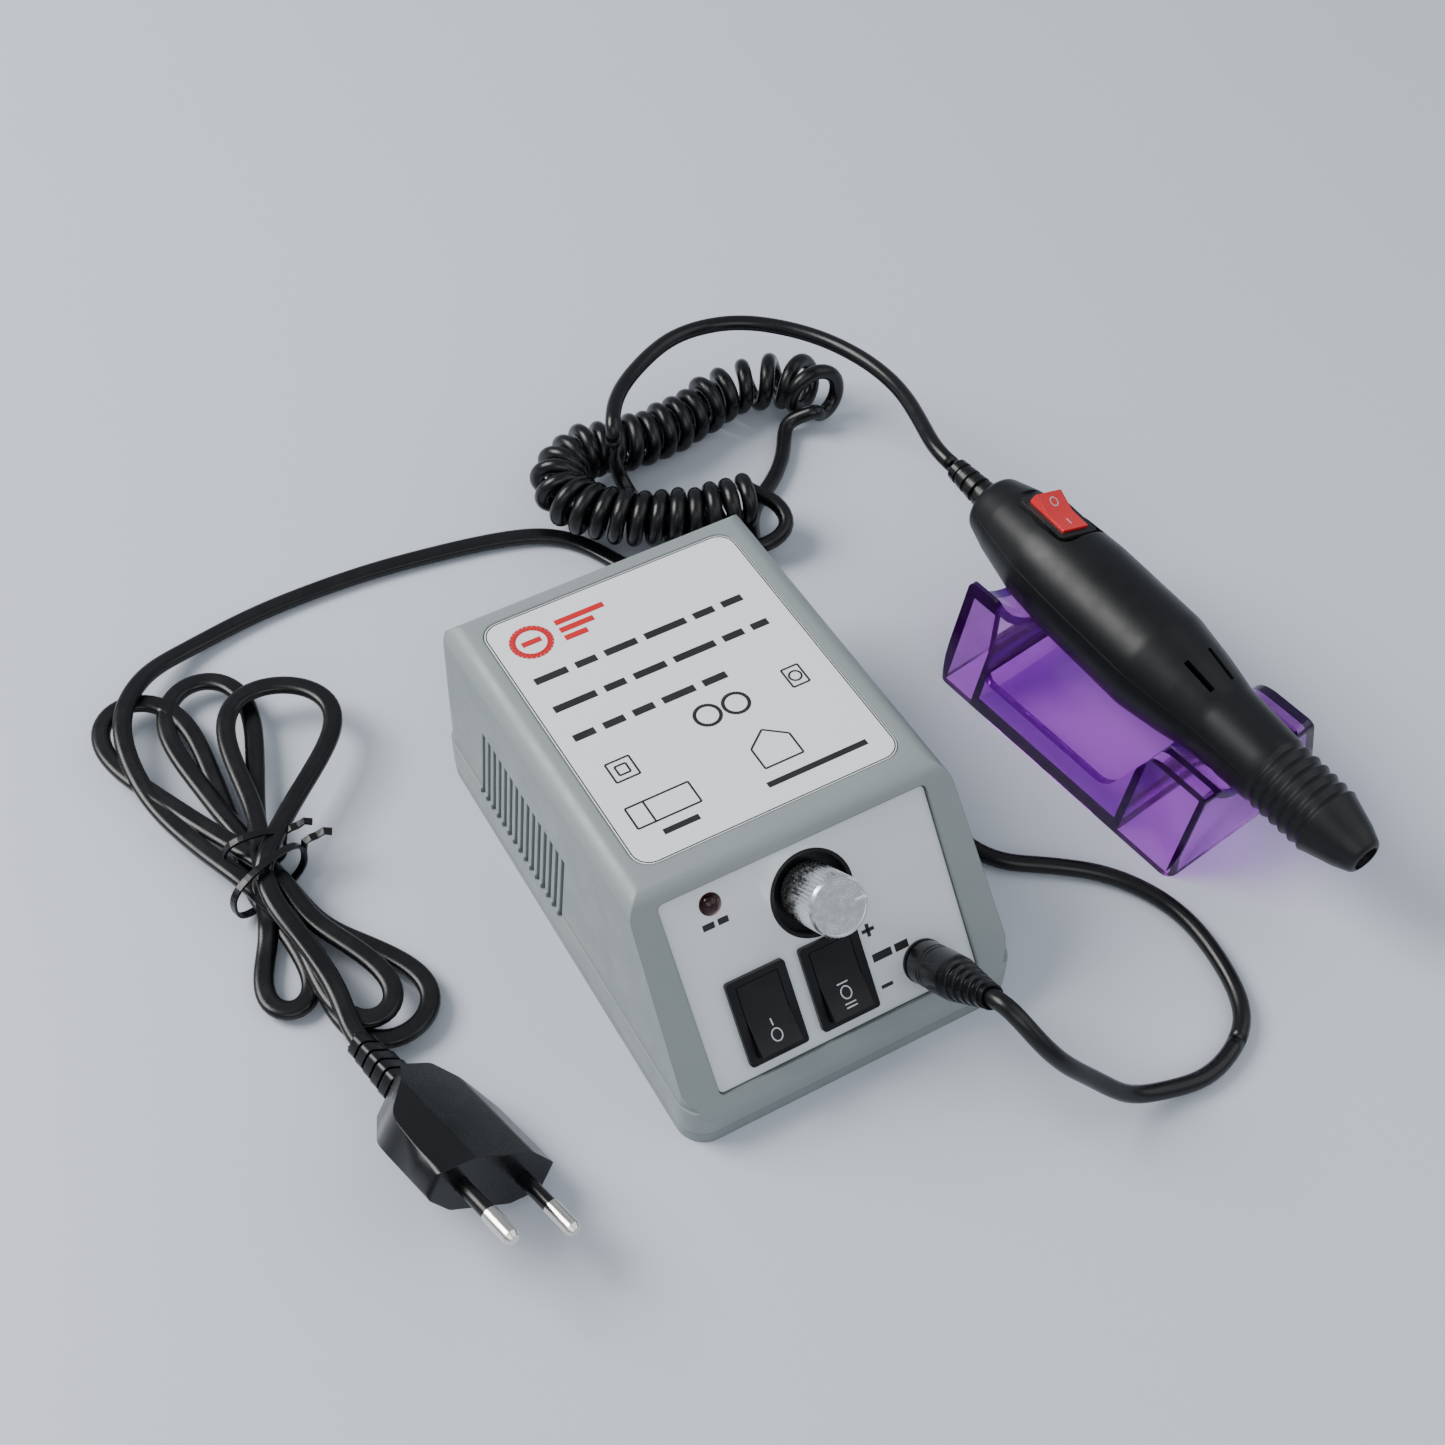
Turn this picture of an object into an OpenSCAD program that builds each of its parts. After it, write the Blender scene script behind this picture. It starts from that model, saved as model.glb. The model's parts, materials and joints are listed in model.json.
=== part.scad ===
// Electric nail drill set: control box, handpiece on its cradle, coiled cord and mains lead.
// +X is to the right of the control box seen from its panel, +Y to its back, +Z up, in millimetres.
// The origin is the middle of the control box's underside, on the table.

/* [Control box] */
// Width of the control box
box_w = 87.3; // [84:0.1:90]
// Depth of the control box
box_d = 130; // [128:1:134]
// Wall thickness of the housing
wall = 2.5; // [2:0.1:3]
// Thickness of the base plate
base_t = 4; // [3.6:0.1:4.2]
// Slope of the front panel from the table
panel_slope = 52.6; // [52:0.1:53]
// Fall of the lid towards the back
lid_fall = 2.08; // [1.5:0.01:2.5]

/* [Front panel] */
// Width of the glossy panel
panel_w = 68.4; // [67:0.1:69]
// Length of the glossy panel along its slope
panel_l = 47; // [46.6:0.1:47.4]
// Thickness of the glossy panel
panel_t = 2; // [1.6:0.1:2.2]
// Diameter of the speed knob
knob_d = 14.4; // [13:0.1:16]
// How far the speed knob stands out of the panel
knob_h = 14.6; // [10:0.1:16]
// Number of knurls round the knob
knob_knurls = 44; // [30:1:60]
// Diameter of the recess round the knob
recess_d = 20.8; // [19:0.1:21]
// Tilt of a panel rocker either side of level
rocker_tilt = 10; // [8:1:11]

/* [Handpiece] */
// Length of the handpiece casing
hand_l = 137; // [137:1:138]
// Largest diameter of the casing
hand_d = 29; // [28.8:0.1:29.2]
// Diameter of the bore that takes a bit's shank
shank_d = 2.38; // [2.3:0.01:2.45]
// Number of grip ribs
grip_ribs = 6; // [4:1:7]
// Tilt of the handpiece rocker either side of level
hand_rocker_tilt = 11; // [8:1:12]

/* [Cradle] */
// Width of the cradle's foot
cradle_w = 52; // [51:0.5:54]
// Length of the cradle
cradle_l = 84.5; // [83:0.5:86]
// Wall thickness of the cradle
cradle_wall = 2.2; // [1.8:0.1:2.6]
// Height of the cradle's low side rim
cradle_rim = 9; // [7:0.5:11]

/* [Cords and mains lead] */
// Diameter of the round cord
cord_d = 4.3; // [4:0.1:4.6]
// Outside diameter of the cord's coil
coil_d = 17; // [16:0.5:17.5]
// Width of the flat mains cable
flex_w = 5.4; // [5:0.1:5.6]
// Thickness of the flat mains cable
flex_t = 3.2; // [3:0.1:3.4]
// Diameter of a mains pin
pin_d = 4; // [4:0.1:4.2]
// Length of a mains pin
pin_l = 19; // [18:0.5:20]

/* [Hidden] */
$fn = 64;
eps = 0.01;          // overlap that joins or opens solids cleanly
gap = 0.15;          // working clearance between separate pieces
half_w = box_w / 2;
half_d = box_d / 2;

// ---- Shared 2-D helpers ----
function unit(v) = v / norm(v);

// Round stretch of radius r that replaces the corner p between its neighbours a and b.
function corner_arc(p, a, b, r, n) = r <= 0 ? [p] :
  let (u = unit(a - p), v = unit(b - p), half = acos(u * v) / 2,
       c = p + unit(u + v) * r / sin(half),
       s = p + u * r / tan(half) - c, e = p + v * r / tan(half) - c,
       a0 = atan2(s[1], s[0]), sweep = (atan2(e[1], e[0]) - a0 + 540) % 360 - 180)
  [for (i = [0 : n]) c + r * [cos(a0 + sweep * i / n), sin(a0 + sweep * i / n)]];

// Outline through pts, with one corner radius for all corners or one for each.
function rounded(pts, rad, n = 6) = [
  for (i = [0 : len(pts) - 1])
    each corner_arc(pts[i], pts[(i + len(pts) - 1) % len(pts)], pts[(i + 1) % len(pts)],
                    is_list(rad) ? rad[i] : rad, n)
];

function rect(w, l) = [[-w / 2, -l / 2], [w / 2, -l / 2], [w / 2, l / 2], [-w / 2, l / 2]];

module block(w, l, h, r = 0, n = 6) { linear_extrude(h) polygon(rounded(rect(w, l), r, n)); }

module tube(r_out, r_in, h) {
  difference() {
    cylinder(r = r_out, h = h);
    translate([0, 0, -1]) cylinder(r = r_in, h = h + 2);
  }
}

// ---- Control box: reference lines of its side view ----
slope_y0 = -half_d + 2.85;     // a point on the frame round the panel
slope_z0 = 13.2;
lid_y0 = -half_d + 39.9;       // a point on the lid
lid_z0 = 54;
back_top_y = half_d - 1.5;
band_h = 12;                   // height of the straight band round the foot
band_step = 0.25;              // the upper walls stand in from the band by this much
lid_edge_r = 6;
lid_half_w = 41.1;             // half width just under the lid

function slope_z(y, t) = slope_z0 + (y - slope_y0) * tan(panel_slope) - t / cos(panel_slope);
function lid_z(y, t) = lid_z0 - (y - lid_y0) * tan(lid_fall) - t / cos(lid_fall);
function brow_y(t) = (lid_z0 + lid_y0 * tan(lid_fall) - t / cos(lid_fall) - slope_z0
  + slope_y0 * tan(panel_slope) + t / cos(panel_slope)) / (tan(panel_slope) + tan(lid_fall));

// Side view of the box, t inside its outer skin.
function side_view(t) = [
  [-half_d + t, -1], [half_d - t, -1], [half_d - t, band_h], [back_top_y - t, lid_z(back_top_y - t, t)],
  [brow_y(t), lid_z(brow_y(t), t)], [-half_d + t, slope_z(-half_d + t, t)]
];

module along_x(half_len) {
  rotate([90, 0, 90]) translate([0, 0, -half_len]) linear_extrude(2 * half_len) children();
}
module along_y(half_len) {
  rotate([90, 0, 0]) translate([0, 0, -half_len]) linear_extrude(2 * half_len) children();
}

// Solid of the whole box, t inside its outer skin; the lid edge runs parallel to the lid.
module box_solid(t) {
  r_in = max(lid_edge_r - t, 2);
  intersection() {
    along_x(half_w) polygon(rounded(side_view(t), [0, 0, 0, r_in - 1, r_in, 3], 8));
    union() {
      translate([0, 0, -1]) block(box_w - 2 * t, box_d - 2 * t, band_h + 1, 7 - t / 2, 8);
      intersection() {
        translate([0, 0, band_h - eps]) block(box_w - 2 * t, box_d - 2 * t, 60, 9 - t / 2, 8);
        translate([0, lid_y0, lid_z0]) rotate([-lid_fall, 0, 0])
          along_y(box_d) polygon(rounded([
            [-half_w + band_step + t, -60], [half_w - band_step - t, -60],
            [half_w - band_step - t, -lid_z0 + band_h - 4], [lid_half_w - t, -t], [-lid_half_w + t, -t],
            [-half_w + band_step + t, -lid_z0 + band_h - 4]], [0, 0, 0, r_in, r_in, 0], 8));
      }
    }
  }
}

// ---- Panel frame: x across, y up the slope from the panel's lower edge, z out of its face ----
panel_y0 = -half_d + 3.8;
panel_z0 = 12.5;
module on_panel(x = 0, v = 0) {
  translate([0, panel_y0, panel_z0]) rotate([panel_slope, 0, 0]) translate([x, v, 0]) children();
}
module panel_plate(grow, z, h) {
  translate([0, panel_l / 2, z]) block(panel_w + 2 * grow, panel_l + 2 * grow, h, 1.2 + grow, 4);
}

switch_v = 13.2;               // height of both rockers up the panel
power_x = -18.1;
polarity_x = 0.7;
switch_cut = [13.2, 19.2];     // cut-out for a 15 x 21 mm rocker switch
knob_pos = [1.1, 34.3];
lamp_pos = [-22.4, 42.2];
lamp_r = 2.5;
jack_pos = [22, 7.4];
jack_r = 4;                    // neck of the jack through the panel
plug_travel = 12;
label_w = 68;
label_l = 82.5;
label_t = 0.5;
label_y = 16.1;                // middle of the label
grommet_x = 30;
grommet_z = 15;
post_x = 38.6;                 // screw posts in the four corners
post_y = 57;
post_r = 3;
screw_core = 1.2;
vent_count = 15;
vent_pitch = 3;
vent_w = 1.5;

module vent_slots() {
  for (side = [-1, 1], i = [0 : vent_count - 1])
    translate([side * half_w, -1 + i * vent_pitch, 22.5]) rotate([4, 0, 0])
      cube([12, vent_w, 24], center = true);
}

module screw_posts() {
  intersection() {
    box_solid(wall / 2);
    for (x = [-1, 1] * post_x, y = [-1, 1] * post_y)
      translate([x, y, base_t]) cylinder(r = post_r, h = 60);
  }
}

module housing() {
  color([0.49, 0.53, 0.53])
  difference() {
    union() {
      difference() {
        box_solid(0);
        box_solid(wall);
      }
      screw_posts();
    }
    translate([0, 0, -10 + base_t]) cube([200, 200, 20], center = true);
    on_panel() {
      panel_plate(0.3, -panel_t - 0.05, 12);
      panel_plate(-1, -6, 12);
    }
    translate([0, lid_y0, lid_z0]) rotate([-lid_fall, 0, 0])
      translate([0, label_y - lid_y0, -label_t]) block(label_w + 0.6, label_l + 0.6, 5, 5, 6);
    vent_slots();
    translate([grommet_x, half_d, grommet_z]) rotate([90, 0, 0]) cylinder(r = 4, h = 12, center = true);
    for (x = [-1, 1] * post_x, y = [-1, 1] * post_y)
      translate([x, y, 0]) cylinder(r = screw_core, h = 14);
  }
}

board_pos = [23, 22];          // middle of the circuit board
board_size = [30, 62, 1.6];
board_z = 10;
board_hole = [11, 26];         // from the middle of the board to its screws
core_pos = [-17, 26];          // middle of the transformer
core_size = [41, 18, 34];      // along the strap, through the stack, and high
leg_w = 13;
window = [7, 22];
strap_t = 1;
strap_foot = 9;
strap_z = 0.7;                 // height of the strap's feet above the core's seat
strap_hole_x = core_size[0] / 2 + strap_foot / 2 + strap_t;

module base_plate() {
  color([0.42, 0.46, 0.46])
  difference() {
    union() {
      block(box_w - 0.3, box_d - 0.3, base_t - 0.4, 7, 8);
      block(box_w - 2 * wall - 0.6, box_d - 2 * wall - 0.6, base_t + 1.6, 5.5, 8);
      for (y = [-1, 1] * board_hole[1])
        translate([board_pos[0] + board_hole[0] * sign(y), board_pos[1] + y, 1])
          cylinder(r = 3, h = board_z - 1);
      for (x = [-1, 1] * strap_hole_x)
        translate([core_pos[0], core_pos[1] + x, 1]) cylinder(r = 3, h = base_t + 1 + strap_z);
    }
    for (x = [-1, 1] * post_x, y = [-1, 1] * post_y) translate([x, y, -1]) {
      cylinder(r = 1.7, h = 20);
      cylinder(r = 3.1, h = 3);
      translate([0, 0, base_t + 0.9]) cylinder(r = post_r + 0.4, h = 9);
    }
    for (y = [-1, 1] * board_hole[1])
      translate([board_pos[0] + board_hole[0] * sign(y), board_pos[1] + y, 3]) cylinder(r = 1, h = 20);
    for (x = [-1, 1] * strap_hole_x)
      translate([core_pos[0], core_pos[1] + x, 1.4]) cylinder(r = screw_core, h = 20);
  }
}

// Pan or countersunk screw, head down at z = 0, with a cross slot.
module screw(core, head_r, head_h, len, cross = 0.5) {
  difference() {
    union() {
      cylinder(r = head_r, h = head_h);
      cylinder(r = core, h = head_h + len);
    }
    for (a = [0, 90]) rotate(a) translate([0, 0, head_h * 0.2]) cube([head_r * 1.3, cross, head_h], center = true);
  }
}

module base_screws() {
  color("silver")
  for (x = [-1, 1] * post_x, y = [-1, 1] * post_y)
    translate([x, y, 0.2]) screw(screw_core, 2.8, 1.6, 11);
}

module front_panel() {
  color("white")
  on_panel() difference() {
    panel_plate(0, -panel_t, panel_t);
    for (x = [power_x, polarity_x])
      translate([x, switch_v, -5]) block(switch_cut[0], switch_cut[1], 10);
    translate([knob_pos[0], knob_pos[1], -5]) cylinder(d = recess_d, h = 10);
    translate([lamp_pos[0], lamp_pos[1], -5]) cylinder(r = lamp_r + 0.2, h = 10);
    translate([jack_pos[0], jack_pos[1], -5]) cylinder(r = jack_r + 0.1, h = 10);
  }
}

module top_label() {
  color("whitesmoke")
  translate([0, lid_y0, lid_z0]) rotate([-lid_fall, 0, 0])
    translate([0, label_y - lid_y0, -label_t + 0.02]) block(label_w, label_l, label_t - 0.15, 4.7, 6);
}

recess_depth = 4;
module knob_recess() {
  color([0.08, 0.08, 0.09])
  on_panel(knob_pos[0], knob_pos[1]) difference() {
    union() {
      translate([0, 0, -recess_depth - 1]) cylinder(d = recess_d - 0.2, h = recess_depth + 0.9);
      translate([0, 0, -recess_depth - 1]) cylinder(d = recess_d + 1.2, h = recess_depth + 1 - panel_t - 0.1);
    }
    translate([0, 0, -recess_depth]) cylinder(d = recess_d - 1.8, h = 9);
    translate([0, 0, -9]) cylinder(r = 3.6, h = 12);
  }
}

module power_lamp() {
  color([0.5, 0.05, 0.07])
  on_panel(lamp_pos[0], lamp_pos[1]) {
    translate([0, 0, -7]) cylinder(r = lamp_r, h = 6);
    translate([0, 0, -1 - eps]) sphere(r = lamp_r);
    for (x = [-1, 1] * 1.27) translate([x, 0, -15]) cylinder(r = 0.3, h = 9, $fn = 16);
  }
}

pot_top = -recess_depth - 1;   // the potentiometer's seat behind the recess floor
shaft_r = 3;
module speed_pot() {
  color([0.35, 0.3, 0.2])
  on_panel(knob_pos[0], knob_pos[1]) difference() {
    union() {
      translate([0, 0, pot_top - 9]) cylinder(r = 8, h = 8.9);
      translate([0, 0, pot_top - 1]) cylinder(r = 3.5, h = 3.2);
      for (x = [-5, 0, 5]) translate([x, -10, pot_top - 7]) cube([1.2, 8, 0.6], center = true);
    }
    translate([0, 0, pot_top - 6]) cylinder(r = shaft_r + 0.05, h = 12);
  }
}

module pot_nut() {
  color("silver")
  on_panel(knob_pos[0], knob_pos[1]) translate([0, 0, pot_top + 1 + 0.05])
    difference() {
      cylinder(r = 5.2, h = 1.1, $fn = 6);
      translate([0, 0, -1]) cylinder(r = 3.55, h = 4);
    }
}

module pot_shaft() {
  color("gainsboro")
  on_panel(knob_pos[0], knob_pos[1]) translate([0, 0, pot_top - 5]) cylinder(r = shaft_r, h = 16.5);
}

module speed_knob() {
  r = knob_d / 2;
  teeth = 2 * knob_knurls;
  color("silver")
  on_panel(knob_pos[0], knob_pos[1]) difference() {
    union() {
      translate([0, 0, -1.6]) linear_extrude(knob_h) polygon([
        for (i = [0 : teeth - 1]) (i % 2 == 0 ? r : r - 0.35) * [cos(i * 360 / teeth), sin(i * 360 / teeth)]]);
      translate([0, 0, knob_h - 1.6 - eps]) cylinder(r1 = r - 0.1, r2 = r - 0.5, h = 1.1);
      translate([0, 0, -1.9]) cylinder(r = r - 0.8, h = 1);
    }
    translate([0, 0, -4]) cylinder(r = shaft_r, h = 10.6);
    translate([0, 0, knob_h - 0.75]) cylinder(r = r - 0.9, h = 2);
    translate([r - 1.4, 0, knob_h]) cube([3.6, 0.7, 3.4], center = true);
  }
}

// ---- Rocker switches, on their own panel face at z = 0 ----
module switch_case(w, l, bezel, depth) {
  difference() {
    union() {
      block(w + 1.8, l + 1.8, bezel, 0.8, 3);
      translate([0, 0, -depth]) block(w - 0.2, l - 0.2, depth + eps);
      for (y = [-1, 0, 1] * l * 0.3) translate([0, y, -depth - 3]) cube([4.6, 0.8, 8], center = true);
    }
    translate([0, 0, -6]) block(w - 2.4, l - 1.4, 12);
  }
}

// Rocker cap tilted by a about its pivot, its two faces meeting in a shallow V.
module rocker(w, l, pivot_z, a, rise = 1.9) {
  r = norm([l / 2 - 1.1, rise]);
  translate([0, 0, pivot_z]) rotate([a, 0, 0]) along_x(w / 2 - 1.4) intersection() {
    polygon([[-l, rise + (l / 2 + 2) * 0.16], [0, rise - l * 0.07], [l, rise + (l / 2 + 2) * 0.16],
             [l, -2.4], [-l, -2.4]]);
    circle(r = r);
  }
}

pivot_z = 0.9;                 // rocker pivot above the panel face
module power_switch_case() {
  color([0.07, 0.07, 0.08]) on_panel(power_x, switch_v) switch_case(switch_cut[0], switch_cut[1], 1.4, 11);
}
module power_rocker() {
  color([0.06, 0.06, 0.07])
  on_panel(power_x, switch_v) rocker(switch_cut[0], switch_cut[1], pivot_z, -rocker_tilt);
}
module polarity_switch_case() {
  color([0.07, 0.07, 0.08]) on_panel(polarity_x, switch_v) switch_case(switch_cut[0], switch_cut[1], 1.4, 11);
}
module polarity_rocker() {
  color([0.06, 0.06, 0.07])
  on_panel(polarity_x, switch_v) rocker(switch_cut[0], switch_cut[1], pivot_z, -rocker_tilt);
}

// ---- DC jack and its plug ----
barrel_r = 2.75;
barrel_l = 9.5;
module dc_jack() {
  color([0.1, 0.1, 0.11])
  on_panel(jack_pos[0], jack_pos[1]) {
    difference() {
      union() {
        translate([0, 0, -12]) cylinder(r = jack_r - 0.1, h = 12.6);
        cylinder(r = 5.4, h = 0.8);
      }
      translate([0, 0, -10.5]) cylinder(r = barrel_r + 0.08, h = 20);
    }
    translate([0, 0, -11]) cylinder(r = 1, h = 10);
  }
}
module jack_nut() {
  color("silver")
  on_panel(jack_pos[0], jack_pos[1]) translate([0, 0, -panel_t - 2.1])
    difference() {
      cylinder(r = 6, h = 2, $fn = 6);
      translate([0, 0, -1]) cylinder(r = jack_r, h = 5);
    }
}
plug_head = 5.3;
plug_len = 31;
module dc_plug_body() {
  color([0.09, 0.09, 0.1])
  on_panel(jack_pos[0], jack_pos[1]) difference() {
    rotate_extrude() polygon(concat(
      [[0, 1.3], [plug_head - 0.2, 1.3], [plug_head, 1.6], [plug_head, 5.6], [plug_head - 0.4, 5.8],
       [plug_head - 0.4, 6.3], [plug_head, 6.5], [plug_head, 7.2], [plug_head - 0.4, 7.4],
       [plug_head - 0.4, 7.9], [plug_head + 0.1, 8.2], [plug_head, 16]],
      [for (i = [0 : 4]) each let (z = 17 + 2.7 * i, r = plug_head - 0.35 - 0.42 * i)
        [[r, z], [r - 0.1, z + 1.5], [r - 0.8, z + 1.65], [r - 0.85, z + 2.55]]],
      [[3, plug_len], [0, plug_len]]));
    translate([0, 0, plug_len - 2]) cylinder(d = cord_d + 0.4, h = 4);
    cylinder(r = barrel_r, h = 5);
  }
}
module dc_plug_barrel() {
  color("silver")
  on_panel(jack_pos[0], jack_pos[1]) translate([0, 0, -barrel_l + 1]) difference() {
    cylinder(r = barrel_r, h = barrel_l + 3);
    translate([0, 0, -1]) cylinder(r = 1.25, h = barrel_l + 1.5);
  }
}

// ---- Inside the control box ----
// Transformer frame: x along its strap, z up from its seat on the base plate.
module at_core(z) {
  translate([core_pos[0], core_pos[1], base_t + 2 + z]) rotate(90) children();
}
module transformer_core() {
  color("dimgray")
  at_core(core_size[2] / 2) difference() {
    cube(core_size, center = true);
    for (x = [-1, 1] * (leg_w + window[0]) / 2)
      translate([x, 0, 0]) cube([window[0], 50, window[1]], center = true);
  }
}
module leg_ring(t0, t1, h) {
  difference() {
    cube([leg_w + 2 * t1, core_size[1] + 2 * t1, h], center = true);
    cube([leg_w + 2 * t0, core_size[1] + 2 * t0, h + 2], center = true);
  }
}
module transformer_bobbin() {
  color("ivory")
  at_core(core_size[2] / 2) {
    leg_ring(gap, 1.2, window[1] - 0.6);
    for (z = [-1, 0, 1] * (window[1] / 2 - 0.8)) translate([0, 0, z]) leg_ring(1.1, 6.5, 1);
  }
}
module transformer_winding() {
  color([0.75, 0.6, 0.2])
  at_core(core_size[2] / 2)
    for (s = [-1, 1]) translate([0, 0, s * (window[1] / 4 - 0.25)]) leg_ring(1.25, 6.2, window[1] / 2 - 2.5);
}
module transformer_strap() {
  top = core_size[2] + 0.1;
  out = core_size[0] / 2 + 0.2;
  color("lightgray")
  at_core(0) difference() {
    union() {
      translate([-out - strap_t, -5, top]) cube([2 * (out + strap_t), 10, strap_t]);
      for (s = [-1, 1]) {
        translate([s * (out + strap_t / 2), 0, (top + strap_z) / 2])
          cube([strap_t, 10, top - strap_z + eps], center = true);
        translate([s * (out + strap_foot / 2 + eps), 0, strap_z + strap_t / 2])
          cube([strap_foot, 10, strap_t], center = true);
      }
    }
    for (x = [-1, 1] * strap_hole_x) translate([x, 0, -5]) cylinder(r = 1.6, h = 12);
  }
}
module strap_screws() {
  color("silver")
  for (x = [-1, 1] * strap_hole_x)
    at_core(strap_z + strap_t + 1.7) translate([x, 0, 0]) rotate([180, 0, 0]) screw(screw_core, 2.6, 1.6, 6);
}
module circuit_board() {
  color([0.15, 0.4, 0.2])
  translate([board_pos[0], board_pos[1], board_z + 0.05]) difference() {
    block(board_size[0], board_size[1], board_size[2]);
    for (s = [-1, 1]) translate([board_hole[0] * s, board_hole[1] * s, -1]) cylinder(r = 1.6, h = 5);
  }
}
board_top = board_z + board_size[2] + 0.1;
module board_screws() {
  color("silver")
  for (s = [-1, 1])
    translate([board_pos[0] + board_hole[0] * s, board_pos[1] + board_hole[1] * s, board_top + 1.3])
      rotate([180, 0, 0]) screw(1, 2.3, 1.3, 7);
}
module rectifier_diodes() {
  color([0.12, 0.12, 0.12])
  for (i = [0 : 3]) translate([board_pos[0] - 7, board_pos[1] - 18 + i * 5, board_top + 1.6])
    rotate([0, 90, 0]) {
      cylinder(r = 1.4, h = 5.5);
      translate([0, 0, -2]) cylinder(r = 0.4, h = 9.5, $fn = 16);
    }
}
module smoothing_capacitor() {
  color([0.1, 0.15, 0.35])
  translate([board_pos[0] + 7, board_pos[1] - 8, board_top]) difference() {
    cylinder(r = 6.3, h = 21);
    translate([0, 0, 2]) rotate_extrude() translate([6.6, 0]) circle(r = 0.7, $fn = 24);
  }
}
module voltage_regulator() {
  color([0.1, 0.1, 0.1])
  translate([board_pos[0] - 2, board_pos[1] + 15, board_top]) {
    translate([-5, -2.2, 5]) cube([10, 4.4, 9]);
    for (x = [-2.54, 0, 2.54]) translate([x - 0.4, -0.3, 0]) cube([0.8, 0.6, 6]);
  }
}
module heat_sink() {
  color("gray")
  translate([board_pos[0] - 2, board_pos[1] + 17.3, board_top]) {
    translate([-9, 0, 0]) cube([18, 1.6, 22]);
    for (i = [0 : 4]) translate([-9 + i * 4.1, 1.5, 0]) cube([1.6, 7, 22]);
  }
}

// ---- Cables: rings along smooth curves through named way points ----
function spline_at(p, i, t) = let (n = len(p) - 1, a = p[max(i - 1, 0)], b = p[i], c = p[min(i + 1, n)],
    d = p[min(i + 2, n)])
  0.5 * (2 * b + (c - a) * t + (2 * a - 5 * b + 4 * c - d) * t * t + (3 * b - a - 3 * c + d) * t * t * t);
function spline(p, steps) = concat(
  [for (i = [0 : len(p) - 2], j = [0 : steps - 1]) spline_at(p, i, j / steps)], [p[len(p) - 1]]);

// A closed tube with half sizes a across and b high that follows path.
module cable(path, a, b, sides) {
  n = len(path);
  function along(i) = unit(path[min(i + 1, n - 1)] - path[max(i - 1, 0)]);
  function across(i) = unit(cross(along(i), [0, 0, 1]));
  rings = [for (i = [0 : n - 1], k = [0 : sides - 1]) let (u = across(i), v = cross(u, along(i)),
    w = 360 * (k + 0.5) / sides) path[i] + u * a * cos(w) + v * b * sin(w)];
  walls = [for (i = [0 : n - 2], k = [0 : sides - 1]) let (m = (k + 1) % sides, q = i * sides)
    each [[q + k, q + sides + k, q + m], [q + m, q + sides + k, q + sides + m]]];
  polyhedron(rings, concat([[for (k = [0 : sides - 1]) k]], walls,
    [[for (k = [sides - 1 : -1 : 0]) (n - 1) * sides + k]]));
}

// Middle of the DC plug's cord end, in the box's frame, z above the panel face.
function panel_point(x, v, z) = [x, panel_y0 + v * cos(panel_slope) - z * sin(panel_slope),
  panel_z0 + v * sin(panel_slope) + z * cos(panel_slope)];
plug_out = panel_point(jack_pos[0], jack_pos[1], plug_len - 1.8);
plug_mid = panel_point(jack_pos[0], jack_pos[1], plug_len + 0.6);
plug_next = panel_point(jack_pos[0] + 0.6, jack_pos[1] - 0.8, plug_len + 5.5);
lead_z = cord_d / 2 + 0.1;
coil_z = coil_d / 2 + 0.1;
lead_points = [
  plug_out, plug_mid, plug_next, [28.5, -97, 30], [39, -101, 17], [48, -104, 7], [58, -105.5, lead_z],
  [70, -107, lead_z], [81, -103, lead_z],
  [88, -93, lead_z], [90.5, -80, lead_z], [90, -67, lead_z], [84, -54, lead_z], [72, -42, lead_z],
  [58, -28, lead_z], [52.5, 0, lead_z], [54, 40, lead_z], [58, 80, lead_z], [68, 102, lead_z],
  [82, 112, lead_z], [92, 118, 5], [99, 122, coil_z]
];
coil_end_z = coil_z + cord_d + 0.4;    // the coil's end lies on the lead
coil_bend_z = coil_z + flex_t + 0.8;   // its bend lies on the mains cable
coil_points = [
  [102, 127, coil_z], [98, 136, coil_z], [84, 140, coil_z], [66, 137, coil_z + 0.2], [48, 134, coil_z + 1.2],
  [30, 135, coil_bend_z - 0.4], [20, 129, coil_bend_z], [20, 119, coil_bend_z], [27, 110, coil_bend_z],
  [38, 102, coil_bend_z - 0.4], [52, 97, coil_end_z - 0.6], [64, 96, coil_end_z]
];
hand_rear = [107.2, 47.1, 35];
hand_heading = 6.1;
hand_pitch = 2.1;
hand_roll = 20;
relief_l = 16;
tail_end = hand_rear + relief_l * [-sin(hand_heading), cos(hand_heading), 0.04];
tail_points = [
  [65.5, 95.9, coil_end_z], [69, 98, 17], [64.5, 104, 25.5], [48, 106, 30], [33, 112, 31], [36, 124, 31],
  [50, 139, 31], [68, 147, 31], [86, 144, 31], [100, 131, 31.5], [108, 114, 32.5], [110, 94, 34],
  tail_end + [-0.8, 9, -0.4], tail_end
];
module cord_lead() { color([0.05, 0.05, 0.06]) cable(spline(lead_points, 3), cord_d / 2, cord_d / 2, 8); }
module cord_coil() { color([0.06, 0.06, 0.07]) cable(spline(coil_points, 3), coil_d / 2, coil_d / 2, 12); }
module cord_tail() { color([0.05, 0.05, 0.06]) cable(spline(tail_points, 3), cord_d / 2, cord_d / 2, 8); }

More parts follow.
